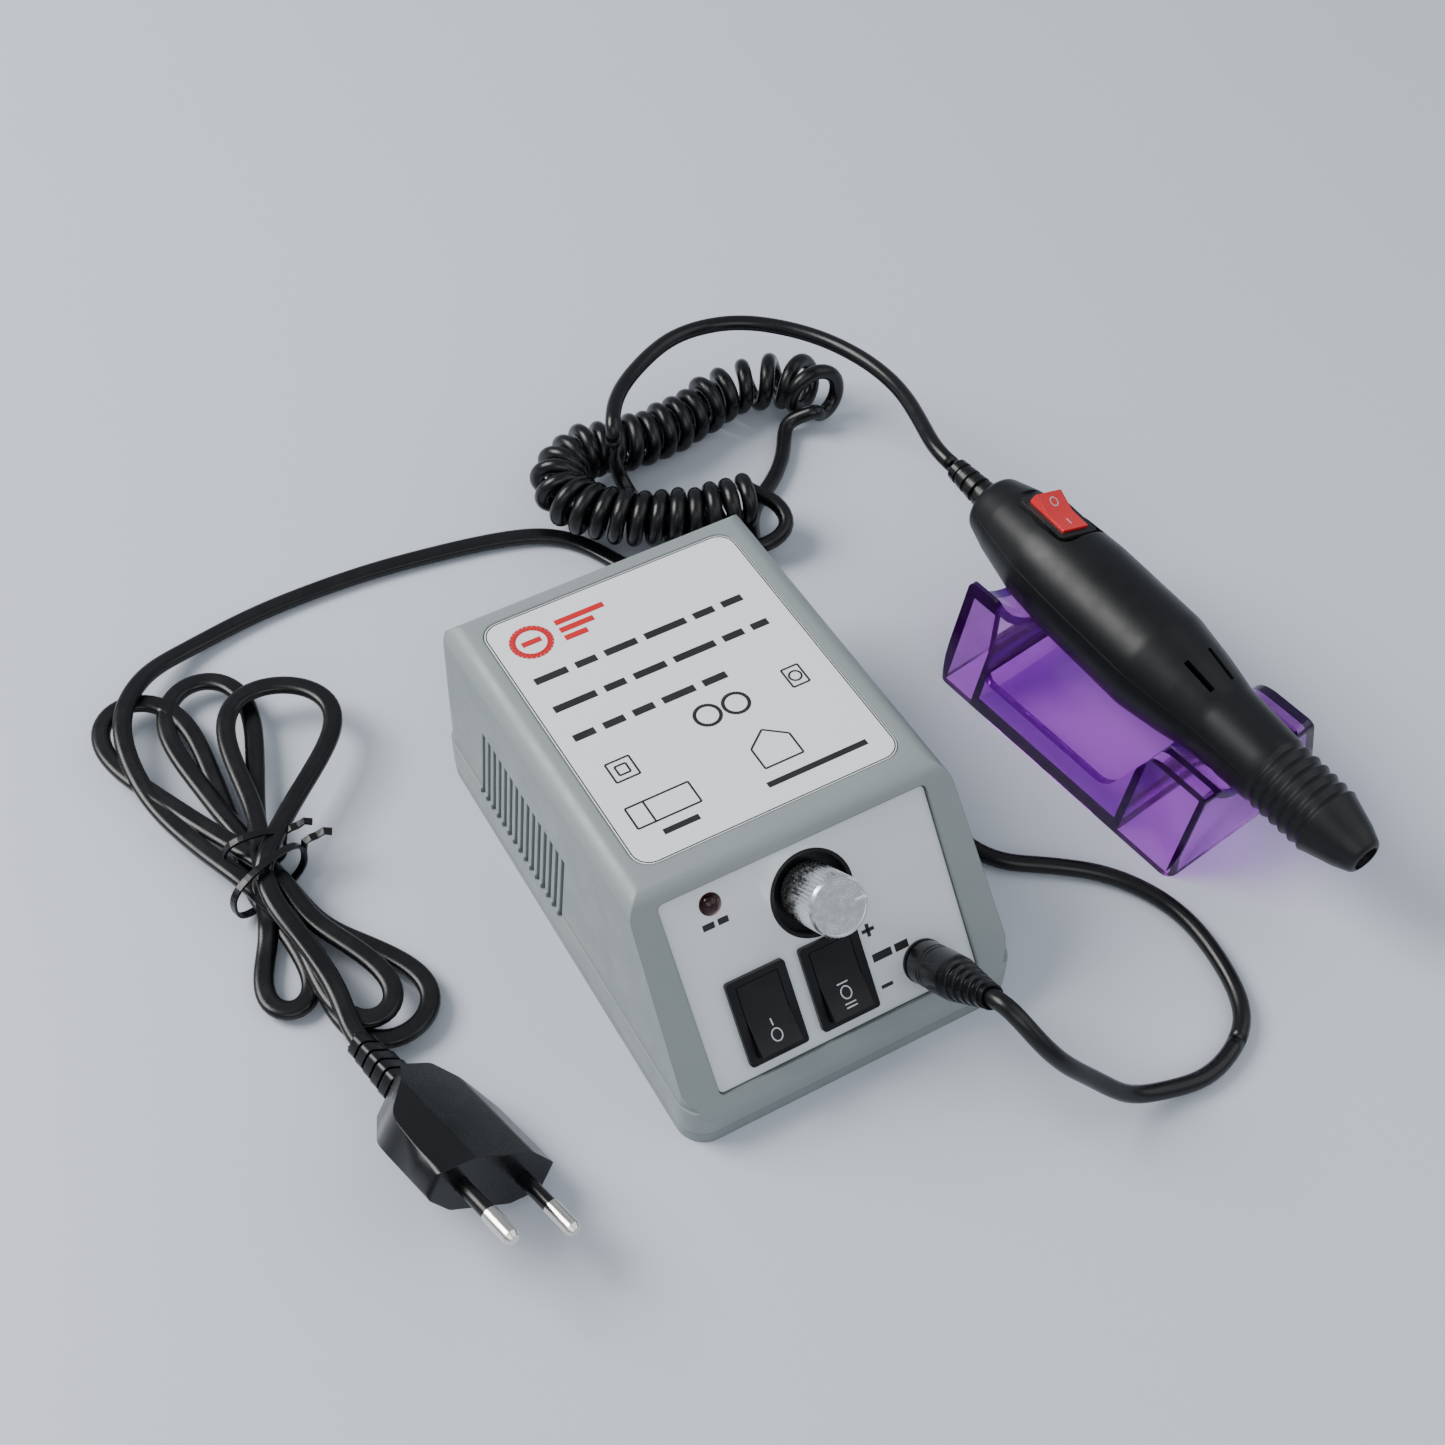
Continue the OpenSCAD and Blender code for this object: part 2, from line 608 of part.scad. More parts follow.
// ---- Mains lead: grommet, cable laid in a flat hank, ties, and two-pin plug ----
module cable_grommet() {
  color([0.06, 0.06, 0.07])
  translate([grommet_x, half_d - wall - 2, grommet_z]) rotate([-90, 0, 0]) difference() {
    union() {
      cylinder(r = 3.9, h = 10);
      cylinder(r = 5.4, h = 1.8);
      translate([0, 0, wall + 2.2]) cylinder(r1 = 5.4, r2 = 4.2, h = 6);
    }
    translate([0, 0, -1]) linear_extrude(16) polygon(rounded(rect(flex_w + 0.3, flex_t + 0.3), flex_t / 2, 6));
  }
}

hank_half_l = 38;              // straight half length of the hank
hank_r = 24;                   // radius of its outer end bends
hank_pitch = 5.9;              // from strand to strand
hank_mid = [-95, 50];
hank_turn = 98;                // heading of the hank
mains_z = flex_t / 2 + 0.1;
// Racetrack spiral: a full turn is two straights and two half circles, each turn one pitch inside the last.
function hank_point(a) = let (r = hank_r - hank_pitch * a / 360, s = sin(a) >= 0 ? 1 : -1)
  [cos(a) * r + (abs(cos(a)) < 0.001 ? 0 : sign(cos(a)) * hank_half_l * min(1, abs(cos(a)) * 3)), sin(a) * r];
function hank_world(a) = let (p = hank_point(a)) [
  hank_mid[0] + p[0] * cos(hank_turn) - p[1] * sin(hank_turn),
  hank_mid[1] + p[0] * sin(hank_turn) + p[1] * cos(hank_turn), mains_z + 1.1];
plug_heading = 11.3;            // from -Y towards +X
plug_roll = -41;
plug_pitch = -8.7;             // pins dip to the table
plug_pos = [-94.8, -25, 11.6];    // cable end of the plug's body
plug_body_l = 34;
mains_points = [
  [grommet_x, half_d - 3, grommet_z], [grommet_x, half_d + 8, grommet_z - 0.5], [grommet_x - 1, 86, 7],
  [26, 104, mains_z], [13, 122, mains_z], [-26, 131, mains_z], [-62, 132, mains_z], [-92, 124, mains_z]
];
module mains_cable() {
  color([0.05, 0.05, 0.06])
  cable(concat(spline(mains_points, 3), hank_path, spline(plug_lead, 3)), flex_w / 2, flex_t / 2, 8);
}
hank_end = 840;                // degrees of winding from the hank's start to its inner end
hank_path = [for (a = [20 : 20 : hank_end - 20]) hank_world(a)];
plug_lead = [hank_world(hank_end), [-97, 0.5, 6.8], [-97.5, -5, 8.6], plug_pos + [-2, 8.7, 0]];

module twist_ties() {
  color([0.06, 0.06, 0.07])
  for (s = [-14, 10]) translate([hank_mid[0] + s * cos(hank_turn), hank_mid[1] + s * sin(hank_turn), 0])
    rotate([0, 0, hank_turn]) rotate([90, 0, 90]) linear_extrude(3, center = true) difference() {
      polygon(rounded([[-28, 0], [28, 0], [28, 7], [-28, 7]], 2.5, 4));
      polygon(rounded([[-27.2, 1], [27.2, 1], [27.2, 6], [-27.2, 6]], 2, 4));
    }
}

// Plug frame: z along the pins, x across them.
module at_plug() {
  translate(plug_pos) rotate([0, 0, plug_heading]) rotate([90 + plug_pitch, 0, 0]) rotate([0, 0, plug_roll]) children();
}
plug_half_w = 17.4;
module mains_plug_body() {
  color([0.06, 0.06, 0.07])
  at_plug() difference() {
    union() {
      intersection() {
        rotate([90, 0, 0]) translate([0, 0, -10]) linear_extrude(20) polygon(rounded([
          [-4.5, 0], [4.5, 0], [9, 6], [plug_half_w - 1, 14], [plug_half_w, plug_body_l], [-plug_half_w, plug_body_l],
          [-plug_half_w + 1, 14], [-9, 6]], [2, 2, 6, 10, 1, 1, 10, 6], 6));
        translate([0, 0, -1]) linear_extrude(50) polygon(rounded([
          [-plug_half_w, -3.4], [-9, -6.8], [9, -6.8], [plug_half_w, -3.4], [plug_half_w, 3.4], [9, 6.8],
          [-9, 6.8], [-plug_half_w, 3.4]], [2, 4, 4, 2, 2, 4, 4, 2], 4));
      }
      for (i = [0 : 4]) translate([0, 0, -3 - 3.6 * i]) block(9 - 0.6 * i, 6.6 - 0.3 * i, 2.6, 1.6, 4);
      translate([0, 0, -19]) block(5.6, 4, 20, 1.4, 4);
    }
    translate([0, 0, -12]) cube([flex_w + 0.2, flex_t + 0.2, 20], center = true);
    for (x = [-1, 1] * 9.3) translate([x, 0, plug_body_l - 8]) cylinder(d = pin_d - 0.4, h = 20);
  }
}
sleeve_l = 10;
module mains_plug_pins() {
  color("silver")
  at_plug() for (x = [-1, 1] * 9.3) translate([x, 0, plug_body_l]) {
    translate([0, 0, -7]) cylinder(d = pin_d - 1, h = sleeve_l + 8);
    translate([0, 0, sleeve_l]) cylinder(d = pin_d, h = pin_l - sleeve_l - 1.2);
    translate([0, 0, pin_l - 1.2]) cylinder(d1 = pin_d, d2 = pin_d - 1.6, h = 1.2);
  }
}
module mains_pin_sleeves() {
  color([0.08, 0.08, 0.08])
  at_plug() for (x = [-1, 1] * 9.3) translate([x, 0, plug_body_l - 7])
    tube(pin_d / 2 - 0.25, pin_d / 2 - 0.5, sleeve_l + 7);
}

// ---- Handpiece frame: y from the tip to the rear, z out of the switch, s measured from the rear ----
module at_hand() {
  translate(hand_rear) rotate([0, 0, hand_heading]) rotate([hand_pitch, 0, 0]) rotate([0, hand_roll, 0])
    children();
}
module turned() { rotate([90, 0, 0]) rotate_extrude() children(); }

hand_r = hand_d / 2;
grip_start = 106;
grip_pitch = 3;
grip_end = grip_start + grip_pitch * grip_ribs;
nose_hole_r = 3.4;
// Radius of the casing at the grip, a shallow wave along a slow taper.
function grip_r(s) = 9.3 - 0.02 * (s - grip_start) + 0.4 * cos(360 * (s - grip_start) / grip_pitch);
casing = concat(
  [[0, 0]],
  rounded([[5, 0], [8.2, 1.6], [10.6, 9.5], [13.6, 24], [hand_r, 38], [hand_r, 66], [12.6, 78], [10.6, 88],
    [9.6, grip_start]], [0, 3, 14, 30, 30, 16, 20, 20, 0], 5),
  [for (s = [grip_start + 0.5 : 0.5 : grip_end]) [grip_r(s), s]],
  rounded([[8.9, grip_end + 1], [6.6, hand_l - 4.5], [4.6, hand_l], [0, hand_l]], [0, 14, 2, 0], 5));
cavity = [[0, 2.5], [6, 2.5], [8.4, 9.5], [11.3, 24], [12.3, 36], [12.3, 67], [10.6, 77], [8.8, 87], [7.6, 100],
  [6.55, 100], [6.55, 107], [7, 107], [6.2, 120], [4.6, 129], [nose_hole_r, 129], [nose_hole_r, 140], [0, 140]];
switch_s = 21;
hand_switch = [12, 14.4];      // cut-out of the rocker switch
flat_z = 10.2;                 // seat of the rocker switch
slot_s = 80.5;
hand_screws = [[0, 11], [-5.8, 95], [5.8, 95]];   // across, and from the rear
screw_seat = [-7.9, -4.2, -4.2];              // height of the seat under each head

module casing_half(up) {
  difference() {
    intersection() {
      turned() polygon(casing);
      translate([0, -hand_l / 2, up * 50]) cube([100, hand_l + 20, 100], center = true);
    }
    difference() {
      turned() polygon(cavity);
      for (p = hand_screws) translate([p[0], -p[1], 0]) cylinder(r = 2.4, h = 40, center = true);
    }
    for (p = hand_screws) translate([p[0], -p[1], up > 0 ? -1 : -20])
      cylinder(r = up > 0 ? 1 : 1.2, h = up > 0 ? 6 : 21);
    rotate([90, 0, 0]) translate([0, 0, -1]) cylinder(r = 3, h = 8);
    if (up > 0) {
      translate([0, -switch_s, flat_z]) block(16.4, 22, 20, 3, 4);
      translate([0, -switch_s, 0]) block(hand_switch[0], hand_switch[1], 30);
      for (a = [-35, 0, 35]) rotate([0, a, 0]) translate([0, -slot_s, 14]) cube([1.5, 9.5, 16], center = true);
    }
  }
}
module handpiece_upper_shell() { color([0.09, 0.095, 0.1]) at_hand() casing_half(1); }
module handpiece_lower_shell() {
  color([0.085, 0.09, 0.095])
  at_hand() difference() {
    casing_half(-1);
    for (i = [0 : 2]) translate([hand_screws[i][0], -hand_screws[i][1], -20])
      cylinder(r = 2.1, h = 20 + screw_seat[i]);
  }
}
module handpiece_screws() {
  color("silver")
  at_hand() for (i = [0 : 2])
    translate([hand_screws[i][0], -hand_screws[i][1], screw_seat[i] - 1.4]) screw(1, 2, 1.4, 4 - screw_seat[i]);
}
module handpiece_switch_case() {
  color([0.05, 0.05, 0.06])
  at_hand() translate([0, -switch_s, flat_z]) switch_case(hand_switch[0], hand_switch[1], 1.2, 9);
}
module handpiece_rocker() {
  color([0.78, 0.06, 0.06])
  at_hand() translate([0, -switch_s, flat_z]) rocker(hand_switch[0], hand_switch[1], 1, hand_rocker_tilt, 2);
}
module cord_strain_relief() {
  color([0.05, 0.05, 0.06])
  at_hand() rotate([-90, 0, 0]) difference() {
    union() {
      translate([0, 0, -5]) cylinder(r = 2.9, h = relief_l);
      translate([0, 0, -5]) cylinder(r = 4.4, h = 2.4);
      for (i = [0 : 3]) translate([0, 0, 0.6 + 3.5 * i]) cylinder(r1 = 4 - 0.25 * i, r2 = 3.8 - 0.25 * i, h = 2.2);
    }
    translate([0, 0, relief_l - 8]) cylinder(d = cord_d + 0.1, h = 20);
  }
}

// Motor and spindle, on the handpiece's axis.
module on_axis(s) { at_hand() rotate([90, 0, 0]) translate([0, 0, s]) children(); }
can_s = 36;
can_l = 30;
can_r = 12.1;
spin_gap = 0.05;
module motor_can() {
  color("lightgray")
  on_axis(can_s) difference() {
    cylinder(r = can_r, h = can_l);
    translate([0, 0, -1]) cylinder(r = can_r - 1, h = can_l);
    cylinder(r = 3, h = can_l + 5);
  }
}
module motor_magnets() {
  color([0.2, 0.2, 0.22])
  on_axis(can_s + 5) difference() {
    tube(can_r - 1.1, 8.4, 20);
    for (a = [0, 90]) rotate(a) cube([5, 40, 60], center = true);
  }
}
module motor_end_cap() {
  color([0.85, 0.85, 0.8])
  on_axis(can_s - 2) difference() {
    union() {
      cylinder(r = can_r, h = 1.9);
      cylinder(r = can_r - 1.1, h = 4);
    }
    translate([0, 0, -1]) cylinder(r = 3, h = 9);
    for (x = [-1, 1] * 6) translate([x, 0, 0]) cube([4.2, 3.2, 20], center = true);
  }
}
module motor_brushes() {
  color([0.6, 0.4, 0.2])
  on_axis(can_s) for (s = [-1, 1]) translate([s * 5.6, 0, 0.8]) {
    cube([3, 2.6, 4.8], center = true);
    translate([-s * 1, 0, 3.6]) cube([2.2, 2, 3], center = true);
  }
}
module motor_bushes() {
  color([0.7, 0.55, 0.3]) {
    on_axis(can_s - 2) tube(2.95, 1 + spin_gap, 3);
    on_axis(can_s + can_l - 1.5) tube(2.95, 1 + spin_gap, 3.5);
  }
}
module motor_shaft() { color("silver") on_axis(can_s - 4) cylinder(r = 1, h = 66); }
module rotor_core() {
  color("dimgray")
  on_axis(can_s + 8) difference() {
    cylinder(r = 8, h = 14);
    translate([0, 0, -1]) cylinder(r = 1, h = 20);
    for (i = [0 : 2]) rotate(120 * i) {
      translate([8, 0, 0]) cube([5, 1.2, 60], center = true);
      translate([5.2, 0, -1]) cylinder(r = 1.9, h = 30);
    }
  }
}
module rotor_windings() {
  color([0.72, 0.4, 0.15])
  on_axis(can_s + 8) for (i = [0 : 2]) rotate(120 * i) {
    translate([5.2, 0, -1.2]) cylinder(r = 1.8, h = 16.4);
  }
}
module commutator() {
  color([0.75, 0.5, 0.25])
  on_axis(can_s + 3.2) difference() {
    cylinder(r = 3.4, h = 3);
    translate([0, 0, -1]) cylinder(r = 1, h = 9);
    for (i = [0 : 2]) rotate(120 * i + 60) translate([3, 0, 0]) cube([2, 0.4, 20], center = true);
  }
}
module nose_bearing() {
  color("lightgray")
  on_axis(101) difference() {
    tube(6.5, 3 + spin_gap, 5);
    for (z = [0, 5]) translate([0, 0, z]) tube(5.6, 4, 1.2);
  }
}
module bit_chuck() {
  color("silver")
  on_axis(84) difference() {
    union() {
      cylinder(r = 3, h = hand_l - 84 - 1.6);
      cylinder(r = 4.2, h = 8);
      translate([0, 0, 14]) cylinder(r = 3.9, h = 2.8);
    }
    translate([0, 0, -1]) cylinder(r = 1, h = 15);
    translate([0, 0, hand_l - 84 - 24]) cylinder(d = shank_d, h = 40);
  }
}

// ---- Cradle frame: y along it, from its front upright to its rear one ----
cradle_pos = [113.7, -11, 0];
cradle_heading = 9.27;
cradle_lean = 0.256;           // how far the side walls lean in for each unit of height
front_h = 27;
front_depth = 21;
rear_h = 31.5;
rear_depth = 14;
cradle_top = 34;

module at_cradle() { translate(cradle_pos) rotate([0, 0, cradle_heading]) children(); }
module cradle_trapezium(inset) {
  top = cradle_w / 2 - cradle_lean * cradle_top;
  along_y(cradle_l) polygon([[-cradle_w / 2 + inset, 0], [cradle_w / 2 - inset, 0], [top - inset, cradle_top],
    [-top + inset, cradle_top]]);
}
function cradle_side(inset, low) = let (l = cradle_l / 2, t = inset) [
  [-l + t, -1], [l - t, -1], [l - t, rear_h - t], [l - rear_depth + 4 + t, rear_h - t],
  [l - rear_depth + t, low], [-l + front_depth + 5 + t, low], [-l + front_depth - 4 - t, front_h - t],
  [-l + t, front_h - t]];
module cradle_outer() {
  intersection() {
    cradle_trapezium(0);
    along_x(cradle_w) polygon(rounded(cradle_side(0, cradle_rim), [0, 0, 2, 2, 3, 6, 8, 2], 6));
    block(cradle_w, cradle_l, 50, 3, 4);
  }
}
module notch(y, r, z, depth) { translate([0, y, z]) along_y(depth / 2) circle(r = r); }
front_notch = [16.5, 35.6];    // radius and height of centre
rear_notch = [17.5, 36.5];

module cradle() {
  l = cradle_l / 2;
  t = cradle_wall;
  color([0.35, 0.12, 0.55, 0.6])
  at_cradle() difference() {
    cradle_outer();
    notch(-l + front_depth / 2, front_notch[0], front_notch[1], front_depth + 20);
    notch(l - rear_depth / 2, rear_notch[0], rear_notch[1], rear_depth + 20);
    // tray between the uprights, open above
    intersection() {
      cradle_trapezium(t);
      translate([0, (front_depth - rear_depth) / 2, t + 30])
        cube([100, cradle_l - front_depth - rear_depth, 60], center = true);
    }
    // hollows of the uprights, open below
    difference() {
      intersection() {
        cradle_trapezium(t);
        union() {
          translate([0, -l + front_depth / 2, -1 + (front_h - t) / 2])
            cube([100, front_depth - 2 * t, front_h - t], center = true);
          translate([0, l - rear_depth / 2, -1 + (rear_h - t) / 2])
            cube([100, rear_depth - 2 * t, rear_h - t], center = true);
        }
      }
      notch(-l + front_depth / 2, front_notch[0] + t, front_notch[1], front_depth + 20);
      notch(l - rear_depth / 2, rear_notch[0] + t, rear_notch[1], rear_depth + 20);
    }
  }
}

housing();
base_plate();
base_screws();
front_panel();
top_label();
knob_recess();
power_lamp();
speed_pot();
pot_nut();
pot_shaft();
speed_knob();
power_switch_case();
power_rocker();
polarity_switch_case();
polarity_rocker();
dc_jack();
jack_nut();
transformer_core();
transformer_bobbin();
transformer_winding();
transformer_strap();
strap_screws();
circuit_board();
board_screws();
rectifier_diodes();
smoothing_capacitor();
voltage_regulator();
heat_sink();
cable_grommet();
mains_cable();
twist_ties();
mains_plug_body();
mains_plug_pins();
mains_pin_sleeves();
dc_plug_body();
dc_plug_barrel();
cord_lead();
cord_coil();
cord_tail();
cord_strain_relief();
handpiece_upper_shell();
handpiece_lower_shell();
handpiece_screws();
handpiece_switch_case();
handpiece_rocker();
motor_can();
motor_magnets();
motor_end_cap();
motor_brushes();
motor_bushes();
motor_shaft();
rotor_core();
rotor_windings();
commutator();
nose_bearing();
bit_chuck();
cradle();
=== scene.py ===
"""Looks for the nail drill set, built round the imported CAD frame. Metres, +X right, +Y back, +Z up."""
import json
import math
import random

import bmesh
import bpy
import numpy as np
from mathutils import Matrix, Vector


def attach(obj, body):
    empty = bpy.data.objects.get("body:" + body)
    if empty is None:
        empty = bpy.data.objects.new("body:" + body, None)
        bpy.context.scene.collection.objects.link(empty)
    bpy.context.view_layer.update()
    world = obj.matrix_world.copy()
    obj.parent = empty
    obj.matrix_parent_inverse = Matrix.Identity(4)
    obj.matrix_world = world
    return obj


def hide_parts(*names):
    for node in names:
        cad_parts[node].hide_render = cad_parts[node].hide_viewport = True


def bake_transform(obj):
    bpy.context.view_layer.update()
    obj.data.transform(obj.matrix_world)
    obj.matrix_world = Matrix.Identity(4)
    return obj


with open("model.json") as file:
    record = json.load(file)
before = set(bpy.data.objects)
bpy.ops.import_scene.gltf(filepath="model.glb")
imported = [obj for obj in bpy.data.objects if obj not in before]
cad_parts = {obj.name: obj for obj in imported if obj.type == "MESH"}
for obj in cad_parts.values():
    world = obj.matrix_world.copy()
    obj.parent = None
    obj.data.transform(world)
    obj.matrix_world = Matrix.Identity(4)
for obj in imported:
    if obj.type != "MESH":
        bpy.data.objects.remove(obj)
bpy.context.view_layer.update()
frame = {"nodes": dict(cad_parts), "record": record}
MM = 0.001
random.seed(7)


# ---------------------------------------------------------------- materials
def new_material(name):
    """An empty node material with its Principled node."""
    mat = bpy.data.materials.new(name)
    mat.use_nodes = True
    return mat, mat.node_tree, mat.node_tree.nodes["Principled BSDF"]


def add_node(tree, kind, **values):
    node = tree.nodes.new(kind)
    for key, value in values.items():
        if key in node.inputs.keys():
            node.inputs[key].default_value = value
        else:
            setattr(node, key, value)
    return node


def object_coords(tree):
    return tree.nodes.new("ShaderNodeTexCoord").outputs["Object"]


def ramp(tree, source, low, high, start=0.35, stop=0.65):
    node = tree.nodes.new("ShaderNodeMapRange")
    node.inputs["From Min"].default_value = start
    node.inputs["From Max"].default_value = stop
    node.inputs["To Min"].default_value = low
    node.inputs["To Max"].default_value = high
    tree.links.new(source, node.inputs["Value"])
    return node.outputs["Result"]


def surface(name, color, rough=0.45, metallic=0.0, variation=0.06, grain=2500.0, bump=0.05,
            coat=0.0, wear=0.25, wear_tint=1.35, edge=0.0003, specular=0.5, smudge=0.08):
    """Moulded or metal surface: mottled colour, uneven roughness, fine bump, softened and worn edges."""
    mat, tree, shader = new_material(name)
    link = tree.links.new
    vec = object_coords(tree)
    broad = add_node(tree, "ShaderNodeTexNoise", Scale=38.0, Detail=4.0)
    fine = add_node(tree, "ShaderNodeTexNoise", Scale=grain, Detail=3.0)
    link(vec, broad.inputs["Vector"])
    link(vec, fine.inputs["Vector"])
    tint = add_node(tree, "ShaderNodeMix", data_type="RGBA")
    tint.inputs[6].default_value = tuple(c * (1 - variation) for c in color) + (1,)
    tint.inputs[7].default_value = tuple(min(1, c * (1 + variation)) for c in color) + (1,)
    link(broad.outputs["Fac"], tint.inputs[0])
    # worn edges: where a rounded normal leaves the true one
    round_normal = add_node(tree, "ShaderNodeBevel", Radius=edge)
    round_normal.samples = 4
    geometry = tree.nodes.new("ShaderNodeNewGeometry")
    dot = add_node(tree, "ShaderNodeVectorMath", operation="DOT_PRODUCT")
    link(round_normal.outputs["Normal"], dot.inputs[0])
    link(geometry.outputs["Normal"], dot.inputs[1])
    worn = ramp(tree, dot.outputs["Value"], wear, 0.0, 0.75, 0.97)
    wear_mix = add_node(tree, "ShaderNodeMix", data_type="RGBA")
    wear_mix.inputs[7].default_value = tuple(min(1, c * wear_tint + 0.01) for c in color) + (1,)
    link(worn, wear_mix.inputs[0])
    link(tint.outputs[2], wear_mix.inputs[6])
    link(wear_mix.outputs[2], shader.inputs["Base Color"])
    patches = add_node(tree, "ShaderNodeTexNoise", Scale=95.0, Detail=6.0, Roughness=0.7)
    link(vec, patches.inputs["Vector"])
    link(ramp(tree, patches.outputs["Fac"], max(0.02, rough - smudge), min(1, rough + smudge)),
         shader.inputs["Roughness"])
    bump_node = add_node(tree, "ShaderNodeBump", Strength=bump, Distance=0.0002)
    link(fine.outputs["Fac"], bump_node.inputs["Height"])
    link(round_normal.outputs["Normal"], bump_node.inputs["Normal"])
    link(bump_node.outputs["Normal"], shader.inputs["Normal"])
    shader.inputs["Metallic"].default_value = metallic
    shader.inputs["Coat Weight"].default_value = coat
    shader.inputs["Coat Roughness"].default_value = 0.08
    shader.inputs["Specular IOR Level"].default_value = specular
    return mat


def turned_metal(name, color, rough, center, normal, rings):
    """Lathe-turned metal: fine rings round an axis through center."""
    mat, tree, shader = new_material(name)
    link = tree.links.new
    coords = tree.nodes.new("ShaderNodeTexCoord")
    offset = add_node(tree, "ShaderNodeVectorMath", operation="SUBTRACT")
    offset.inputs[1].default_value = center
    link(coords.outputs["Object"], offset.inputs[0])
    crossed = add_node(tree, "ShaderNodeVectorMath", operation="CROSS_PRODUCT")
    crossed.inputs[1].default_value = normal
    link(offset.outputs["Vector"], crossed.inputs[0])
    radius = add_node(tree, "ShaderNodeVectorMath", operation="LENGTH")
    link(crossed.outputs["Vector"], radius.inputs[0])
    scaled = add_node(tree, "ShaderNodeMath", operation="MULTIPLY")
    scaled.inputs[1].default_value = rings
    link(radius.outputs["Value"], scaled.inputs[0])
    wave = add_node(tree, "ShaderNodeMath", operation="SINE")
    link(scaled.outputs["Value"], wave.inputs[0])
    noise = add_node(tree, "ShaderNodeTexNoise", Scale=700.0, Detail=3.0)
    link(coords.outputs["Object"], noise.inputs["Vector"])
    link(ramp(tree, noise.outputs["Fac"], rough * 0.7, rough * 1.4), shader.inputs["Roughness"])
    bump_node = add_node(tree, "ShaderNodeBump", Strength=0.35, Distance=0.00004)
    link(wave.outputs["Value"], bump_node.inputs["Height"])
    link(bump_node.outputs["Normal"], shader.inputs["Normal"])
    shader.inputs["Base Color"].default_value = tuple(color) + (1,)
    shader.inputs["Metallic"].default_value = 1.0
    return mat


def clear_tinted(name, color, density, rough=0.06):
    """Clear moulded plastic with a deep body colour and slightly uneven faces."""
    mat, tree, shader = new_material(name)
    link = tree.links.new
    vec = object_coords(tree)
    flow = add_node(tree, "ShaderNodeTexNoise", Scale=60.0, Detail=2.0)
    scuff = add_node(tree, "ShaderNodeTexNoise", Scale=900.0, Detail=5.0)
    link(vec, flow.inputs["Vector"])
    link(vec, scuff.inputs["Vector"])
    bump_node = add_node(tree, "ShaderNodeBump", Strength=0.12, Distance=0.0006)
    link(flow.outputs["Fac"], bump_node.inputs["Height"])
    link(bump_node.outputs["Normal"], shader.inputs["Normal"])
    link(ramp(tree, scuff.outputs["Fac"], rough * 0.5, rough * 2.2), shader.inputs["Roughness"])
    shader.inputs["Base Color"].default_value = (1, 1, 1, 1)
    shader.inputs["IOR"].default_value = 1.46
    shader.inputs["Transmission Weight"].default_value = 1.0
    volume = add_node(tree, "ShaderNodeVolumeAbsorption", Density=density)
    volume.inputs["Color"].default_value = tuple(color) + (1,)
    scatter = add_node(tree, "ShaderNodeVolumeScatter", Density=density * 0.05)
    scatter.inputs["Color"].default_value = tuple(color) + (1,)
    both = tree.nodes.new("ShaderNodeAddShader")
    link(volume.outputs["Volume"], both.inputs[0])
    link(scatter.outputs["Volume"], both.inputs[1])
    link(both.outputs["Shader"], tree.nodes["Material Output"].inputs["Volume"])
    # light passes the walls tinted, so neither the shadows nor the far walls go black
    passing = tree.nodes.new("ShaderNodeBsdfTransparent")
    passing.inputs["Color"].default_value = tuple(0.45 + 0.55 * c for c in color) + (1,)
    path = tree.nodes.new("ShaderNodeLightPath")
    choose = tree.nodes.new("ShaderNodeMixShader")
    link(path.outputs["Is Shadow Ray"], choose.inputs[0])
    link(shader.outputs["BSDF"], choose.inputs[1])
    link(passing.outputs["BSDF"], choose.inputs[2])
    link(choose.outputs["Shader"], tree.nodes["Material Output"].inputs["Surface"])
    return mat


# ---------------------------------------------------------------- frame geometry
PANEL_SLOPE = math.radians(52.6)


def panel_axes():
    """Corner, up-slope direction and normal of the panel."""
    up = Vector((0, math.cos(PANEL_SLOPE), math.sin(PANEL_SLOPE)))
    normal = Vector((0, -math.sin(PANEL_SLOPE), math.cos(PANEL_SLOPE)))
    corner = Vector((0, -61.2 * MM, 12.5 * MM))
    return corner, up, normal


# places on the panel: millimetres across and up its slope
PANEL, UP, OUT = panel_axes()
RIGHT = Vector((1, 0, 0))
KNOB = (1.1, 34.3)
POWER_X, POLARITY_X, SWITCH_V = -18.1, 0.7, 13.2
JACK = (22.0, 7.4)


def on_panel(x, v, w=0.0):
    """A panel point from millimetres across, up the slope and out of the face."""
    return PANEL + RIGHT * x * MM + UP * v * MM + OUT * w * MM


LID_FALL = math.radians(2.08)
LID = Vector((0, -25.1 * MM, 54 * MM))
LID_BACK = Vector((0, math.cos(LID_FALL), -math.sin(LID_FALL)))
LID_OUT = Vector((0, math.sin(LID_FALL), math.cos(LID_FALL)))


HAND_HEADING, HAND_TILT, HAND_ROLL = 6.1, 2.1, 20
HAND_PLACE = (107.2, 47.1, 35)


def hand_matrix():
    """The handpiece's own axes: Y along it towards the cord, Z out through its rocker."""
    turn = (Matrix.Rotation(math.radians(HAND_HEADING), 4, "Z")
            @ Matrix.Rotation(math.radians(HAND_TILT), 4, "X"))
    roll = Matrix.Rotation(math.radians(HAND_ROLL), 4, "Y")
    return Matrix.Translation(Vector(HAND_PLACE) * MM) @ turn @ roll


HAND = hand_matrix()


